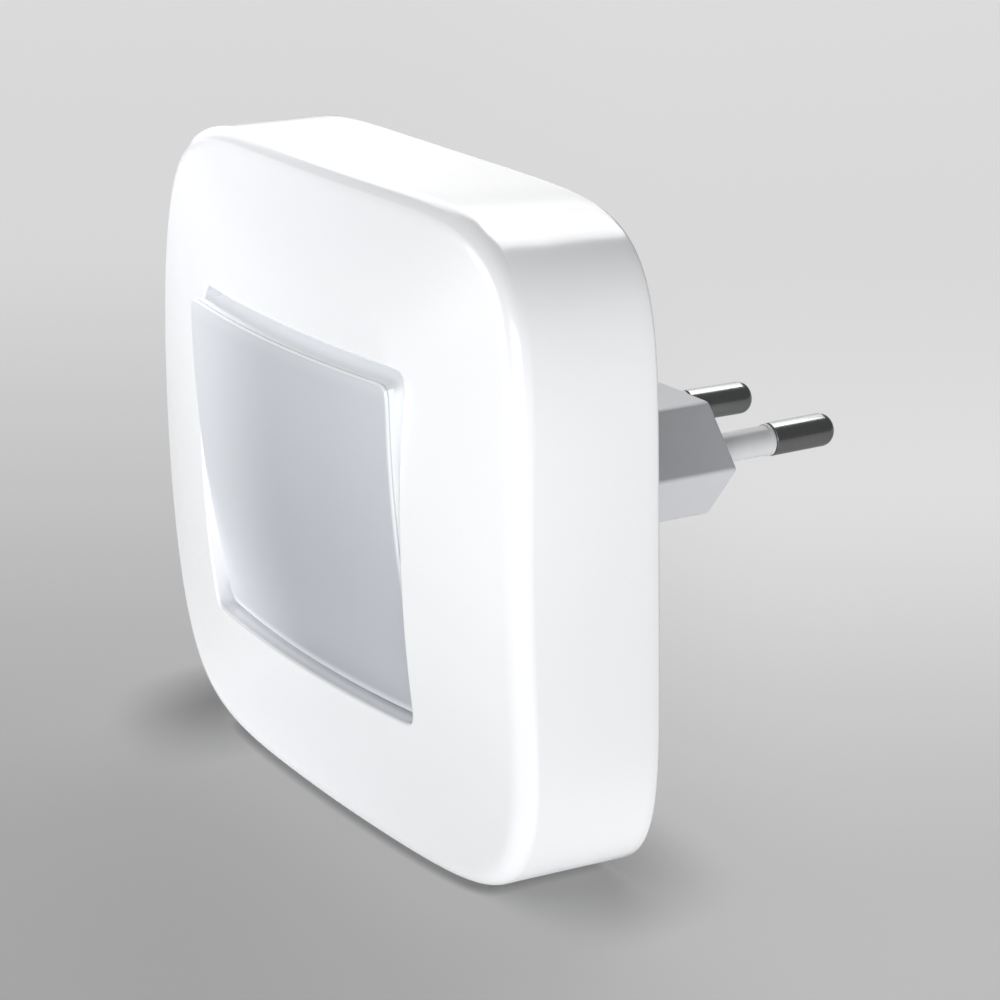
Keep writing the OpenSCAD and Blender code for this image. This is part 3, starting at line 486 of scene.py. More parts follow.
# Painted glow, cut off low down as painted shade in the gap under the plate.
glow = add(t, "ShaderNodeMapRange", {
    "Value": spot.outputs["Z"], "From Min": -0.016, "From Max": -0.008, "To Max": 0.27})
surface(t, add(t, "ShaderNodeBsdfPrincipled", {
    "Base Color": tint.outputs[2], "Roughness": rough, "IOR": 1.53, "Normal": relief,
    "Emission Color": colour("#f4f8ff"), "Emission Strength": glow}))


def finish_node(finish, *names):
    """Gives CAD nodes a finish."""
    for name in names:
        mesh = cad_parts[name].data
        mesh.materials.clear()
        mesh.materials.append(finish)


finish_node(lucent_abs, "rocker_body")


# ---- Plunger and its spring --------
# An acetal pin that the rocker carries in a tube, pressed on the contact lever by a
# small coil spring, so that the rocker snaps over.


def varied(name, tone, shades, fine=None, rough=0.35, bump=None, **sockets):
    """A finish whose tint follows one noise, and its roughness and relief a finer one.

    A noise is its scale and its detail. Its scale has three values where it is stretched.
    """
    made, tree, place = finish_of(name)
    noises = []
    for scale, detail in (tone, fine) if fine else (tone,):
        spot = place
        if isinstance(scale, tuple):
            spot, scale = add(tree, "ShaderNodeMapping", {"Vector": place, "Scale": scale}), 1.0
        noise = add(tree, "ShaderNodeTexNoise", {"Vector": spot, "Scale": scale, "Detail": detail})
        noises.append(noise)
    low, high = (colour(code) for code in shades)
    tint = add(tree, "ShaderNodeMix", {0: noises[0], 6: low, 7: high}, data_type="RGBA")
    if isinstance(rough, tuple):
        rough = add(tree, "ShaderNodeMapRange", {
            "Value": noise, "To Min": rough[0], "To Max": rough[1]})
    if bump:
        sockets["Normal"] = add(tree, "ShaderNodeBump", {
            "Height": noise, "Strength": bump[0], "Distance": bump[1]})
    surface(tree, add(tree, "ShaderNodeBsdfPrincipled", {
        "Base Color": tint.outputs[2], "Roughness": rough, **sockets}))
    return made


# Acetal: creamy white with a waxy half gloss and faint turning marks round it.
acetal = varied(
    "acetal_natural", ((100.0, 3000.0, 100.0), 2.0), ("#e9e6dc", "#f1efe8"), rough=0.38,
    bump=(0.05, 0.0001), IOR=1.48)
finish_node(acetal, "plunger")

# Drawn spring wire: dark steel with a fine streaky sheen left by the die.
spring_wire = varied(
    "steel_spring_wire", (4000.0, 3.0), ("#8a8b8d", "#a2a3a4"), rough=(0.24, 0.40), Metallic=1.0)
finish_node(spring_wire, "plunger_spring")


# ---- Switch base -------------------
# A grey nylon tray screwed to the circuit board. Its two ears carry the steel pins that
# the rocker turns on, and its floor holds the terminals.

# Glass filled nylon, grey: matt, with short pale fibres showing along the flow.
grey_nylon, t, place = finish_of("nylon_glass_filled_grey")
stretched = add(t, "ShaderNodeMapping", {"Vector": place, "Scale": (500.0, 2500.0, 2500.0)})
fibres = add(t, "ShaderNodeTexNoise", {"Vector": stretched, "Scale": 1.0, "Detail": 3.0})
fleck = add(t, "ShaderNodeMapRange", {"Value": fibres, "From Min": 0.55, "From Max": 0.75})
tint = add(t, "ShaderNodeMix", {
    0: fleck, 6: colour("#8c9196"), 7: colour("#a9adb0")}, data_type="RGBA")
relief = add(t, "ShaderNodeBump", {"Height": fibres, "Strength": 0.15, "Distance": 0.0001})
surface(t, add(t, "ShaderNodeBsdfPrincipled", {
    "Base Color": tint.outputs[2], "Roughness": 0.52, "IOR": 1.53, "Normal": relief}))
finish_node(grey_nylon, "switch_base")

# Ground steel pin: bright, with fine marks round it.
ground_steel = varied(
    "steel_ground_pin", ((4000.0, 80.0, 80.0), 2.0), ("#b4b5b6", "#c8c9c9"), rough=(0.15, 0.30),
    Metallic=1.0)
finish_node(ground_steel, "hinge_pins")


# ---- Contact lever and terminals ---
# Strip brass parts of the switch: the lever rocks in the common terminal and closes on
# the load terminal. Both meet through silver faces.

# Rolled brass strip: warm yellow metal with streaks along the roll and duller patches.
brass = varied(
    "brass_strip_rolled", (250.0, 2.0), ("#b8954f", "#d3b06a"), fine=((2500.0, 2500.0, 150.0), 3.0),
    rough=(0.22, 0.42), bump=(0.08, 0.0001), Metallic=1.0)
finish_node(brass, "contact_lever", "terminal_common", "terminal_load")

# Silver contact face: pale soft metal with a dull bloom of tarnish.
silver = varied(
    "silver_contact_face", (1500.0, 3.0), ("#c9c5bc", "#e6e4df"), rough=(0.30, 0.50), Metallic=1.0)
finish_node(silver, "lever_contact", "terminal_contact")


# ---- Rear cover --------------------
# The flat white ABS back with a round hollow plinth for the plug, let into the rim of
# the front cover and held by the four screws.

# ABS from a spark eroded tool: plain white with a fine matt grain that softens light.
white_abs = varied(
    "white_abs_matt_grain", (30.0, 1.0), ("#e8e9e9", "#eeefef"), fine=(1600.0, 3.0),
    rough=(0.42, 0.55), bump=(0.12, 0.0002), IOR=1.53)
finish_node(white_abs, "rear_cover")


# ---- Cover screws ------------------
# Four zinc plated steel screws with round heads and cross recesses, driven through the
# back into the posts of the front cover.

# Zinc plate: bright grey metal, a little cloudy, with fine drawing marks.
zinc = varied(
    "steel_zinc_plated", (700.0, 3.0), ("#b9bbbd", "#cfd0cf"), rough=(0.28, 0.42),
    bump=(0.1, 0.0001), Metallic=1.0)

# A piece planted in rows: one copy at every crossing of a grid that stands across the
# lamp, each turned about its own axis by a share of a turn.
rows, given = growing("Planted In Rows", (
    ("Geometry", "Geometry"), ("Columns", "Int"), ("Rows", "Int"), ("Width", "Float"),
    ("Height", "Float"), ("Turn", "Float"), ("Seed", "Int"), ("Material", "Material")))
lattice = add(rows, "GeometryNodeMeshGrid", {
    "Size X": given["Width"], "Size Y": given["Height"],
    "Vertices X": given["Columns"], "Vertices Y": given["Rows"]})
stood = add(rows, "GeometryNodeTransform", {
    "Geometry": lattice.outputs["Mesh"], "Rotation": (math.pi / 2, 0, 0), "Scale": (MM, MM, MM)})
chance = add(rows, "FunctionNodeRandomValue", {"Seed": given["Seed"]}, data_type="FLOAT")
swing = add(rows, "ShaderNodeMath", (chance.outputs[1], given["Turn"]), operation="MULTIPLY")
swing = add(rows, "ShaderNodeMath", (swing, math.tau), operation="MULTIPLY")
spin = add(rows, "ShaderNodeCombineXYZ", {"Y": swing})
copies = add(rows, "GeometryNodeInstanceOnPoints", {
    "Points": stood, "Instance": given["Geometry"], "Rotation": spin})
real = add(rows, "GeometryNodeRealizeInstances", {"Geometry": copies})
painted = add(rows, "GeometryNodeSetMaterial", {"Geometry": real, "Material": given["Material"]})
add(rows, "NodeGroupOutput", {"Geometry": painted})


def skin_of(name, points, faces, crease=math.radians(35)):
    """A mesh from points in mm and faces, with smooth faces and sharp edges past an angle."""
    mesh = bpy.data.meshes.new(name)
    mesh.from_pydata([Vector(p) * MM for p in points], [], faces)
    work = bmesh.new()
    work.from_mesh(mesh)
    bmesh.ops.recalc_face_normals(work, faces=work.faces)
    for face in work.faces:
        face.smooth = True
    for edge in work.edges:
        edge.smooth = edge.calc_face_angle(0) < crease
    work.to_mesh(mesh)
    work.free()
    return mesh


def turned(profile, around=64):
    """Points and faces of a piece turned about Y, from its (radius, height) in mm."""
    points, faces, rings = [], [], []
    for r, h in profile:
        first = len(points)
        count = around if r else 1
        for k in range(count):
            turn = math.tau * k / around
            points.append((r * math.cos(turn), h, r * math.sin(turn)))
        rings.append([first + k % count for k in range(around)])
    for a, b in zip(rings, rings[1:]):
        for k in range(around):
            corners = (a[k], a[(k + 1) % around], b[(k + 1) % around], b[k])
            faces.append(tuple(dict.fromkeys(corners)))
    return points, faces


head_r, head_y, head_t, flat_r, head_sides = 2.4, -28.4, 1.2, 1.75, 48
recess_l, recess_w, recess_d, recess_taper = 1.35, 0.30, 0.7, 0.72
thread_r, core_r, pitch, sides, per_pitch = 1.18, 0.86, 1.0, 24, 8
crest_w, point_l, point_r, shank_y, tip_y = 0.3, 1.6, 0.25, head_y + 0.1, -40.9
head_profile = [(head_r, shank_y), (head_r, head_y + 0.55), (2.3, head_y + 0.85),
                (2.08, head_y + 1.08), (flat_r, head_y + head_t)]
points, faces = turned(head_profile, head_sides)
arm = [(recess_l, -recess_w), (recess_l, recess_w), (recess_w, recess_w)]
cross = []
for _ in range(4):
    cross += arm
    arm = [(-z, x) for x, z in arm]
top, first, corners = head_y + head_t, len(points), len(cross)
points += [(x, top, z) for x, z in cross]
points += [(recess_taper * x, top - recess_d, recess_taper * z) for x, z in cross]
for k in range(corners):
    after = (k + 1) % corners
    faces.append((first + k, first + after, first + corners + after, first + corners + k))
faces.append(tuple(first + corners + k for k in range(corners)))
rim = [(len(head_profile) - 1) * head_sides + k for k in range(head_sides)]
for q in range(4):                                          # flat of the head, round the recess
    a, b, c, d = (first + (3 * q + k) % corners for k in range(4))
    start = head_sides // 4 * q
    faces.append((*(rim[(start + k - 2) % head_sides] for k in range(5)), b, a))
    faces.append((*(rim[(start + k + 2) % head_sides] for k in range(9)), d, c, b))
steps = int((shank_y - tip_y) / pitch * per_pitch)
first = len(points)
for k in range(steps + 1):                                  # thread, cut to a point at the tip
    y = shank_y - k * pitch / per_pitch
    taper = min(1.0, (y - tip_y) / point_l + point_r)
    for i in range(sides):
        phase = (k / per_pitch + i / sides) % 1
        crest = max(0.0, 1 - abs(phase - 0.5) / crest_w)
        r = (core_r + (thread_r - core_r) * crest * min(1.0, k / per_pitch)) * taper
        points.append((r * math.cos(math.tau * i / sides), y, r * math.sin(math.tau * i / sides)))
for k in range(steps):
    for i in range(sides):
        a, b = first + k * sides + i, first + k * sides + (i + 1) % sides
        faces.append((a, b, b + sides, a + sides))
faces.append(tuple(first + steps * sides + i for i in range(sides)))
for i in range(sides):                                      # underside of the head
    faces.append((first + i, first + (i + 1) % sides, (2 * i + 2) % head_sides, 2 * i + 1, 2 * i))
corner_grid = {"Columns": 2, "Rows": 2, "Width": 68.0, "Height": 55.0}
cover_screws = grown("cover_screw_set", rows, skin_of("cover_screw", points, faces), {
    **corner_grid, "Turn": 1.0, "Seed": 4, "Material": zinc})
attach(cover_screws, "housing")
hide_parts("cover_screws")


# ---- Cover posts -------------------
# The four tubes inside the front cover that the screws cut their threads in, moulded in
# one with its face.

post_r, bore_r, root_y, end_y, bore_y, bevel = 3.0, 1.2, -43.6, -34.2, -41.05, 0.15
post_profile = [(0, root_y), (post_r, root_y), (post_r, end_y - bevel), (post_r - bevel, end_y),
                (bore_r + bevel, end_y), (bore_r, end_y - bevel), (bore_r, bore_y), (0, bore_y)]
points, faces = turned(post_profile, 40)
cover_posts = grown("cover_post_set", rows, skin_of("cover_post", points, faces), {
    **corner_grid, "Turn": 0.0, "Seed": 1, "Material": opal})
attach(cover_posts, "housing")
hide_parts("front_cover")


# ---- Plug body ---------------------
# The six-sided grip of the plug: a smooth moulding with soft ridges and a collar round
# the foot of each pin, held in the plinth by the flange at its back.

# Glass filled nylon with a smooth skin: pale cool grey, half gloss, faintly mottled.
plug_nylon = varied(
    "nylon_smooth_pale", (120.0, 3.0), ("#d9dadf", "#dfe0e4"), fine=(1800.0, 2.0),
    rough=(0.30, 0.40), bump=(0.03, 0.0002), IOR=1.53)


def softened(name, node, radius, chosen, finish, steps=4):
    """A CAD node's copy as one skin, with its chosen edges rounded to a radius in mm."""
    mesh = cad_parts[node].data.copy()
    mesh.name = name
    mesh.materials.clear()
    mesh.materials.append(finish)
    work = bmesh.new()
    work.from_mesh(mesh)
    same_place, same_plane = 0.002 * MM, math.radians(0.5)
    bmesh.ops.remove_doubles(work, verts=work.verts, dist=same_place)
    bmesh.ops.dissolve_limit(work, angle_limit=same_plane, verts=work.verts, edges=work.edges)
    picked = [e for e in work.edges if chosen(e.verts[0].co / MM, e.verts[1].co / MM)]
    bmesh.ops.bevel(work, geom=picked, offset=radius * MM, segments=steps,
                    profile=0.5, affect="EDGES", clamp_overlap=True)
    bmesh.ops.triangulate(work, faces=[f for f in work.faces if len(f.verts) > 4])
    for face in work.faces:
        face.smooth = True
    for edge in work.edges:
        edge.smooth = edge.calc_face_angle(0) < sharp_from
    work.to_mesh(mesh)
    work.free()
    made = placed(name, mesh)
    flat = made.modifiers.new("flat faces", "WEIGHTED_NORMAL")
    flat.keep_sharp = True
    return made


def on_hexagon(p, corner_x=17.65, flat_x=11.6, flat_z=6.85, flange_y=-21.05, near=0.004):
    """Whether a point in mm lies on the outline of the plug's section."""
    slant = (abs(p.x) + abs(p.z) * (corner_x - flat_x) / flat_z) / corner_x
    return p.y > flange_y and abs(max(slant, abs(p.z) / flat_z) - 1) < near


def ridge_or_face_edge(a, b, long=5, face_y=-0.1):
    """Whether an edge is a long ridge of the grip or lies round its face."""
    return on_hexagon(a) and on_hexagon(b) and (abs(a.y - b.y) > long or min(a.y, b.y) > face_y)


plug_body = softened("plug_grip", "plug_body", 0.5, ridge_or_face_edge, plug_nylon)
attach(plug_body, "housing")
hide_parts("plug_body")


# ---- Pins --------------------------
# Two round pins of nickel plated brass, turned with a rounded end and pressed through
# the plug. They lean in a little towards their tips, as such pins do, so that they grip.

# Nickel plate on turned brass: dark polished metal with faint rings from the lathe.
nickel = varied(
    "brass_nickel_plated", (300.0, 2.0), ("#9c9f9d", "#a8aaa8"), fine=((60.0, 2500.0, 60.0), 2.0),
    rough=(0.18, 0.26), bump=(0.04, 0.0001), Metallic=1.0)

pin_lean, pin_foot = math.radians(1.658), 9.3
core, pin_r, sleeve_end, tip_round, tip_end, tail = 1.3, 2.0, 10.0, 1.5, 19.0, -24.5
pin_profile = [(0, tail), (core - 0.2, tail), (core, tail + 0.2), (core, sleeve_end),
               (pin_r - 0.1, sleeve_end), (pin_r, sleeve_end + 0.1), (pin_r, 14.0)]
for c, s in arc(8):
    pin_profile.append((pin_r - tip_round * (1 - c), tip_end - tip_round * (1 - s) - 0.03))
pin_profile += [(0.4, tip_end - 0.005), (0, tip_end)]


def on_both_sides(start, ending, profile, finish):
    """Yields a turned piece for the live side and one for the neutral side, leaning inwards."""
    for side, name in ((1, "live"), (-1, "neutral")):
        points, faces = turned(profile)
        mesh = skin_of(start + name + ending, points, faces)
        lean = Matrix.Rotation(side * pin_lean, 4, "Z")
        mesh.transform(Matrix.Translation((side * pin_foot * MM, 0, 0)) @ lean)
        mesh.materials.append(finish)
        yield placed(start + name + ending, mesh), name


for pin, name in on_both_sides("pin_", "_turned", pin_profile, nickel):
    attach(pin, "housing")
    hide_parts("pin_" + name)


# ---- Pin sleeves -------------------
# Pale plastic tubes on the half of each pin next to the plug, so that no bare metal
# can be touched as the plug goes in. Each ends in a fine lip against the metal.

# Nylon tube: pale grey with a satin skin.
sleeve_nylon = varied(
    "nylon_satin_grey", (900.0, 2.0), ("#e3e4e6", "#e9eaec"), rough=(0.30, 0.42),
    bump=(0.05, 0.0002), IOR=1.53)

sleeve_r, lip_h, lip_out, bore, foot = 1.8, 0.45, 0.12, core + 0.02, -1
collar_r = sleeve_r + lip_out
sleeve_profile = [
    (bore, foot), (sleeve_r, foot), (sleeve_r, sleeve_end - 0.15 - lip_h),
    (collar_r, sleeve_end - 0.07 - lip_h), (collar_r, sleeve_end - 0.16),
    (collar_r - 0.08, sleeve_end - 0.06), (bore, sleeve_end - 0.06), (bore, foot)]
for sleeve, name in on_both_sides("pin_sleeve_", "_tube", sleeve_profile, sleeve_nylon):
    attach(sleeve, "housing")
    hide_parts("pin_sleeve_" + name)


# ---- Contact springs ---------------
# A bent brass strip behind each pin, which takes the current from the end of the pin to
# the circuit board.

finish_node(brass, "contact_spring_live", "contact_spring_neutral")


# ---- Circuit board -----------------
# The board across the lamp that carries the diodes in front and the power parts at its
# back, held on two small screws of the switch base.

# Glass laminate under green solder resist: islands of copper show paler through the
# resist, with the fine weave of the glass between them.
laminate, t, place = finish_of("laminate_green_resist")
islands = add(t, "ShaderNodeTexVoronoi", {
    "Vector": place, "Scale": 130.0}, distance="CHEBYCHEV", feature="F1")
gaps = add(t, "ShaderNodeTexVoronoi", {"Vector": place, "Scale": 130.0}, feature="DISTANCE_TO_EDGE")
copper = add(t, "ShaderNodeMapRange", {"Value": gaps, "From Min": 0.04, "From Max": 0.07})
kind = add(t, "ShaderNodeSeparateColor", {"Color": islands.outputs["Color"]})
covered = add(t, "ShaderNodeMath", (kind.outputs[0], 0.45), operation="GREATER_THAN")
copper = add(t, "ShaderNodeMath", (copper, covered), operation="MULTIPLY")
weave = add(t, "ShaderNodeTexWave", {
    "Vector": place, "Scale": 500.0, "Distortion": 0.5}, wave_type="BANDS",
    bands_direction="DIAGONAL")
bare = add(t, "ShaderNodeMix", {
    0: weave, 6: colour("#0f4a2c"), 7: colour("#145233")}, data_type="RGBA")
tint = add(t, "ShaderNodeMix", {
    0: copper, 6: bare.outputs[2], 7: colour("#1d6b3f")}, data_type="RGBA")
relief = add(t, "ShaderNodeBump", {"Height": copper, "Strength": 0.4, "Distance": 0.00004})
surface(t, add(t, "ShaderNodeBsdfPrincipled", {
    "Base Color": tint.outputs[2], "Roughness": 0.28, "IOR": 1.55, "Normal": relief}))
finish_node(laminate, "circuit_board")
finish_node(zinc, "switch_screws")


# ---- Diodes ------------------------
# Ten surface mounted diodes in two rows and two side pairs. Each is a white package with
# a cup that a slightly proud pad of phosphor fills.

# Moulded polyamide: a bright ivory white that throws the light forward.
diode_white = varied(
    "polyamide_diode_white", (1200.0, 2.0), ("#eeede6", "#f5f4ef"), rough=0.33, bump=(0.05, 0.0001),
    IOR=1.53)

# Silicone loaded with phosphor grains: speckled yellow, glossy on top, glowing white.
phosphor, t, place = finish_of("silicone_phosphor_lit")
specks = add(t, "ShaderNodeTexVoronoi", {"Vector": place, "Scale": 9000.0})
tint = add(t, "ShaderNodeMix", {
    0: specks.outputs["Distance"], 6: colour("#e2c330"), 7: colour("#f0dc6c")}, data_type="RGBA")
surface(t, add(t, "ShaderNodeBsdfPrincipled", {
    "Base Color": tint.outputs[2], "Roughness": 0.15, "IOR": 1.41,
    "Emission Color": colour("#f6f3e2"), "Emission Strength": 0.8}))


def rounded_rings(name, rings, corner=0.25, steps=3):
    """A closed mesh through rounded rectangles of (half width, half height, y) in mm."""
    points, faces, count = [], [], 4 * (steps + 1)
    for w, h, y in rings:
        r = min(corner, w, h)
        for k in range(count):
            q, part = divmod(k, steps + 1)
            turn = math.radians(90 * (part / steps + q))
            side_x, side_z = ((1, 1), (-1, 1), (-1, -1), (1, -1))[q]
            x, z = side_x * (w - r), side_z * (h - r)
            points.append((x + r * math.cos(turn), y, z + r * math.sin(turn)))
    for n in range(len(rings) - 1):
        for k in range(count):
            a, b = n * count + k, n * count + (k + 1) % count
            faces.append((a, b, b + count, a + count))
    faces += [tuple(range(count)), tuple((len(rings) - 1) * count + k for k in range(count))]
    return skin_of(name, points, faces)


diode_y, diode_front, pad_front = -34.2, -34.9, -35.0
package = [(1.75, 1.40, diode_y), (1.75, 1.40, diode_front + 0.06), (1.69, 1.34, diode_front),
           (1.28, 1.02, diode_front), (1.18, 0.92, diode_front + 0.42)]
pad = [(1.16, 0.90, diode_front + 0.38), (1.24, 0.98, diode_front + 0.04),
       (1.18, 0.92, pad_front + 0.03), (0.95, 0.70, pad_front)]
for name, rings, finish, node, slot in (
        ("diode_package", package, diode_white, "led_packages", "led_white"),
        ("diode_pad", pad, phosphor, "led_phosphor", "led_phosphor")):
    for part, columns, width, height in (("rows", 3, 44.0, 59.2), ("sides", 2, 70.8, 22.0)):
        diodes = grown(name + "_" + part, rows, rounded_rings(name, rings), {
            "Columns": columns, "Rows": 2, "Width": width, "Height": height,
            "Turn": 0.0, "Seed": 1, "Material": finish})
        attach(diodes, "housing")
        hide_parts(node)


# ---- Reflector tray ----------------
# A thin white tray over the board, with windows for the diodes and a wall round the
# well, so that the light goes to the front.

finish_node(diode_white, "reflector_tray")


# ---- Power parts -------------------
# The dropper capacitor, the smoothing capacitor, the bridge, the fuse resistor and three
# chip resistors, soldered to the back of the board.

# Film capacitor box: glossy red brown plastic with soft marks of the tool.
film_box = varied(
    "film_capacitor_box_red", (180.0, 2.0), ("#8e2f22", "#9d3a2b"), rough=0.25, bump=(0.06, 0.0002),
    IOR=1.53)
finish_node(film_box, "film_capacitor")

# Can in a shrunk sleeve: smooth dark film with bright bare aluminium at both ends.
can, t, place = finish_of("aluminium_can_sleeved")
cloud = add(t, "ShaderNodeTexNoise", {"Vector": place, "Scale": 400.0, "Detail": 2.0})
film_half_l = 0.00575
along = add(t, "ShaderNodeSeparateXYZ", {"Vector": place}).outputs["X"]
along = add(t, "ShaderNodeMath", (along,), operation="ABSOLUTE")
bare = add(t, "ShaderNodeMath", (along, film_half_l), operation="GREATER_THAN")
film = add(t, "ShaderNodeMix", {
    0: cloud, 6: colour("#23272e"), 7: colour("#2c3139")}, data_type="RGBA")
tint = add(t, "ShaderNodeMix", {
    0: bare, 6: film.outputs[2], 7: colour("#c5c7c8")}, data_type="RGBA")
rough = add(t, "ShaderNodeMapRange", {"Value": cloud, "To Min": 0.25, "To Max": 0.38})
surface(t, add(t, "ShaderNodeBsdfPrincipled", {
    "Base Color": tint.outputs[2], "Metallic": bare, "Roughness": rough}))
finish_node(can, "smoothing_capacitor")

# Moulded epoxy of the bridge: matt black with a sparkle of fine filler.
epoxy = varied(
    "epoxy_moulded_black", (5000.0, 2.0), ("#202124", "#303236"), rough=(0.45, 0.62),
    bump=(0.1, 0.0001), IOR=1.55)
finish_node(epoxy, "bridge_rectifier")

# Resistor lacquer: glossy blue with painted bands and bright tinned ends.
lacquer, t, place = finish_of("resistor_lacquer_blue")
body_half_l = 0.00325
along = add(t, "ShaderNodeSeparateXYZ", {"Vector": place}).outputs["X"]
along = add(t, "ShaderNodeMapRange", {
    "Value": along, "From Min": -body_half_l, "From Max": body_half_l})
bands = add(t, "ShaderNodeValToRGB", {"Fac": along})
ramp = bands.color_ramp
ramp.interpolation = "CONSTANT"
ramp.elements[0].color = colour("#c2c3c4")
ramp.elements[1].position, ramp.elements[1].color = 0.95, colour("#c2c3c4")
ground = "#5f93b8"
for start, code in (
        (0.05, ground), (0.20, "#6a3b21"), (0.28, ground), (0.38, "#1d1c1c"), (0.46, ground),
        (0.56, "#1d1c1c"), (0.64, ground), (0.76, "#a98a3c"), (0.84, ground)):
    ramp.elements.new(start).color = colour(code)
cloud = add(t, "ShaderNodeTexNoise", {"Vector": place, "Scale": 900.0, "Detail": 2.0})
relief = add(t, "ShaderNodeBump", {"Height": cloud, "Strength": 0.1, "Distance": 0.0002})
surface(t, add(t, "ShaderNodeBsdfPrincipled", {
    "Base Color": bands.outputs["Color"], "Roughness": 0.22, "IOR": 1.5, "Normal": relief}))
finish_node(lacquer, "fuse_resistor")

# Chip resistor: a glazed black top between tinned ends, the same on each chip.
chip, t, place = finish_of("chip_glaze_black_tinned")
half_pitch, glaze_half_l = 0.0024, 0.00115
along = add(t, "ShaderNodeSeparateXYZ", {"Vector": place}).outputs["X"]
along = add(t, "ShaderNodeMath", (along, half_pitch, -half_pitch), operation="WRAP")
along = add(t, "ShaderNodeMath", (along,), operation="ABSOLUTE")
end = add(t, "ShaderNodeMath", (along, glaze_half_l), operation="GREATER_THAN")
grain = add(t, "ShaderNodeTexNoise", {"Vector": place, "Scale": 3000.0, "Detail": 2.0})
glaze = add(t, "ShaderNodeMix", {
    0: grain, 6: colour("#1b1c1f"), 7: colour("#26282b")}, data_type="RGBA")
tint = add(t, "ShaderNodeMix", {
    0: end, 6: glaze.outputs[2], 7: colour("#c9cacb")}, data_type="RGBA")
rough = add(t, "ShaderNodeMapRange", {"Value": grain, "To Min": 0.22, "To Max": 0.36})
surface(t, add(t, "ShaderNodeBsdfPrincipled", {
    "Base Color": tint.outputs[2], "Metallic": end, "Roughness": rough}))
finish_node(chip, "chip_resistors")


# ---- Stage -------------------------
# A pale floor without an edge, two long softboxes at the lamp's left and one over it,
# two in front of it, a low fill from the right, and a dim even room.

scene.view_settings.view_transform = "Standard"
floor_z, far = -half_h * MM, 4
floor_mesh = bpy.data.meshes.new("floor")
corners = [(x, y, floor_z) for x, y in ((-far, -far), (far, -far), (far, far), (-far, far))]
floor_mesh.from_pydata(corners, [], [(0, 1, 2, 3)])
floor = placed("floor", floor_mesh)
floor.visible_shadow = False

# Matt paper of a pale grey. To the eye it runs from a darker near left to a light far
# side, as a painted gradient of light, and it carries painted shadow where the lamp
# overhangs it or stands on it.
paper, t, place = finish_of("paper_matt_pale")
away = Vector((-behind.x, -behind.y, 0)).normalized()
depth = add(t, "ShaderNodeVectorMath", (place, away), operation="DOT_PRODUCT").outputs["Value"]
aside = add(t, "ShaderNodeVectorMath", (place, level), operation="DOT_PRODUCT").outputs["Value"]
# Painted light and shade: the gradient of the paper's tone as seen.
near_step, far_step, right_step = (
    add(t, "ShaderNodeMapRange", {"Value": value, "From Min": low, "From Max": high},
        interpolation_type="SMOOTHSTEP")
    for value, low, high in (
        (depth, -0.060, 0.120), (depth, -0.020, 0.300), (aside, -0.060, 0.025)))
left_tone = add(t, "ShaderNodeMath", (near_step, 0.09, 0.30), operation="MULTIPLY_ADD")
left_tone = add(t, "ShaderNodeMath", (far_step, 0.19, left_tone), operation="MULTIPLY_ADD")
more = add(t, "ShaderNodeMath", (near_step, 0.165, 0.13), operation="MULTIPLY_ADD")
more = add(t, "ShaderNodeMath", (far_step, -0.28, more), operation="MULTIPLY_ADD")
tone = add(t, "ShaderNodeMath", (right_step, more, left_tone), operation="MULTIPLY_ADD")
deepest_left_shadow = add(t, "ShaderNodeMapRange", {
    "Value": add(t, "ShaderNodeSeparateXYZ", {"Vector": place}).outputs["X"],
    "From Min": -0.040, "From Max": -0.020, "To Min": 0.30})
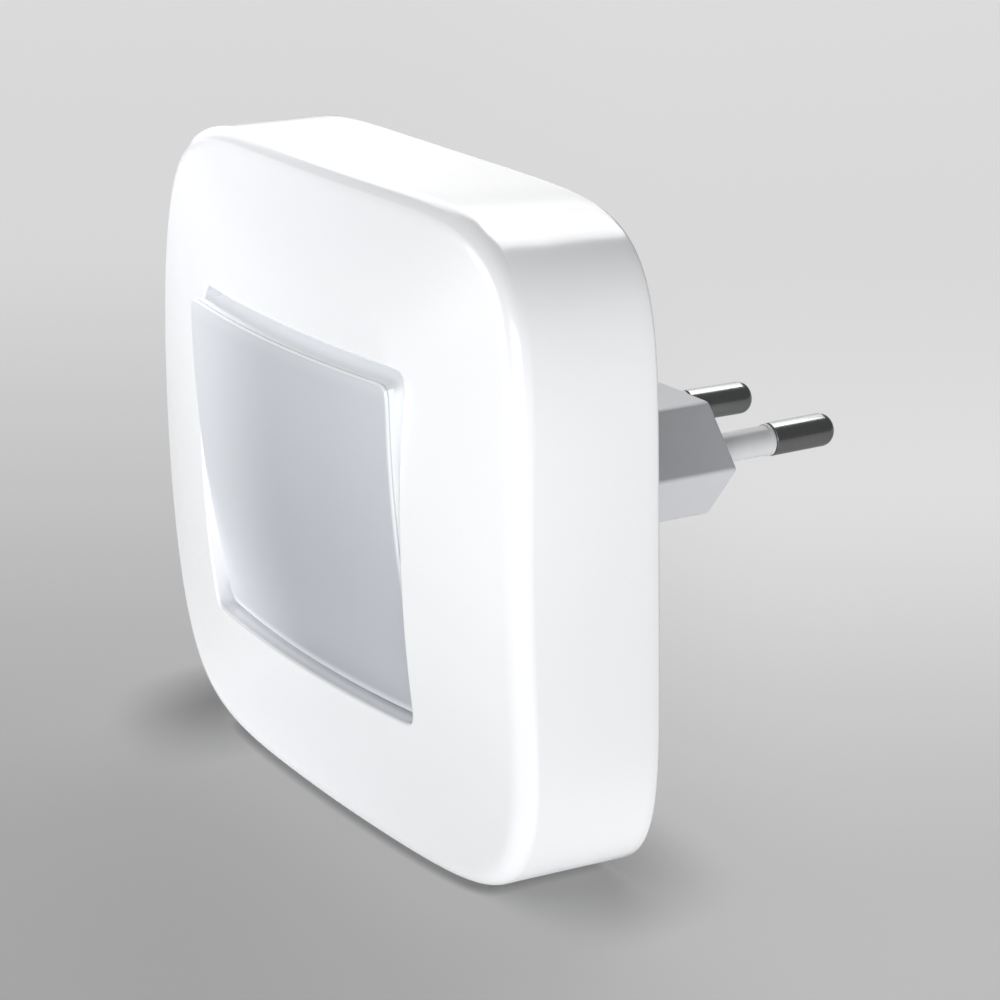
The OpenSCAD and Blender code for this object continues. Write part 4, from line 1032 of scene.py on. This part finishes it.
# Painted contact shadows from occlusion: under the lamp's lower edge, along its foot, and beside
# its left corner.
for reach, towards, dark, clear, least in (
        (0.016, (-0.55, -0.70, 0.45), 0.35, 0.85, 0.45),
        (0.0016, (0.0, 0.0, 1.0), 0.30, 0.80, 0.35),
        (0.017, (0.6, 0.3, 0.7), 0.45, 0.88, deepest_left_shadow)):
    normal = add(t, "ShaderNodeCombineXYZ", towards)
    sky = add(t, "ShaderNodeAmbientOcclusion", {"Distance": reach, "Normal": normal}, samples=16)
    shade = add(t, "ShaderNodeMapRange", {
        "Value": sky.outputs["AO"], "From Min": dark, "From Max": clear, "To Min": least})
    tone = add(t, "ShaderNodeMath", (tone, shade), operation="MULTIPLY")
seen = add(t, "ShaderNodeEmission", {"Strength": tone})
dim = add(t, "ShaderNodeBsdfDiffuse", {"Color": colour("#6c6c6c")})
lit_paper = add(t, "ShaderNodeBsdfDiffuse", {"Color": colour("#c8c8c8")})
eye_ray = add(t, "ShaderNodeLightPath").outputs["Is Camera Ray"]
seen = add(t, "ShaderNodeAddShader", (dim, seen))
surface(t, add(t, "ShaderNodeMixShader", (eye_ray, lit_paper, seen)))
floor_mesh.materials.append(paper)

room = bpy.data.worlds.new("room")
scene.world = room
room.use_nodes = True
t = room.node_tree
t.nodes.clear()
surroundings = add(t, "ShaderNodeBackground", {"Color": colour("#ffffff"), "Strength": 0.13})
add(t, "ShaderNodeOutputWorld", {"Surface": surroundings})

lamp_middle, lamp_distance = Vector((0, -0.025, 0)), 1.2
for name, towards, size, radiance in (                      # a radiance of 1 looks white
        ("left_low", (-0.86, 0.24, 0.24), (1.15, 0.52), 1.05),
        ("left_high", (-0.74, 0.30, 0.61), (1.1, 0.46), 1.9),
        ("overhead", (-0.33, 0.455, 0.83), (0.56, 0.52), 4.0),
        ("front_left", (-0.45, -0.89, 0.0), (0.6, 0.6), 3.6),
        ("front_right", (0.64, -0.77, 0.05), (0.8, 0.7), 3.65),
        ("right_fill", (0.76, -0.10, -0.64), (0.8, 0.6), 6.2)):
    softbox = bpy.data.lights.new(name, "AREA")
    softbox.shape = "RECTANGLE"
    softbox.size, softbox.size_y = size
    softbox.energy = radiance * math.pi * size[0] * size[1]
    spot = lamp_middle + Vector(towards).normalized() * lamp_distance
    facing = (spot - lamp_middle).to_track_quat("Z", "Y").to_matrix().to_4x4()
    placed(name, softbox).matrix_world = Matrix.Translation(spot) @ facing
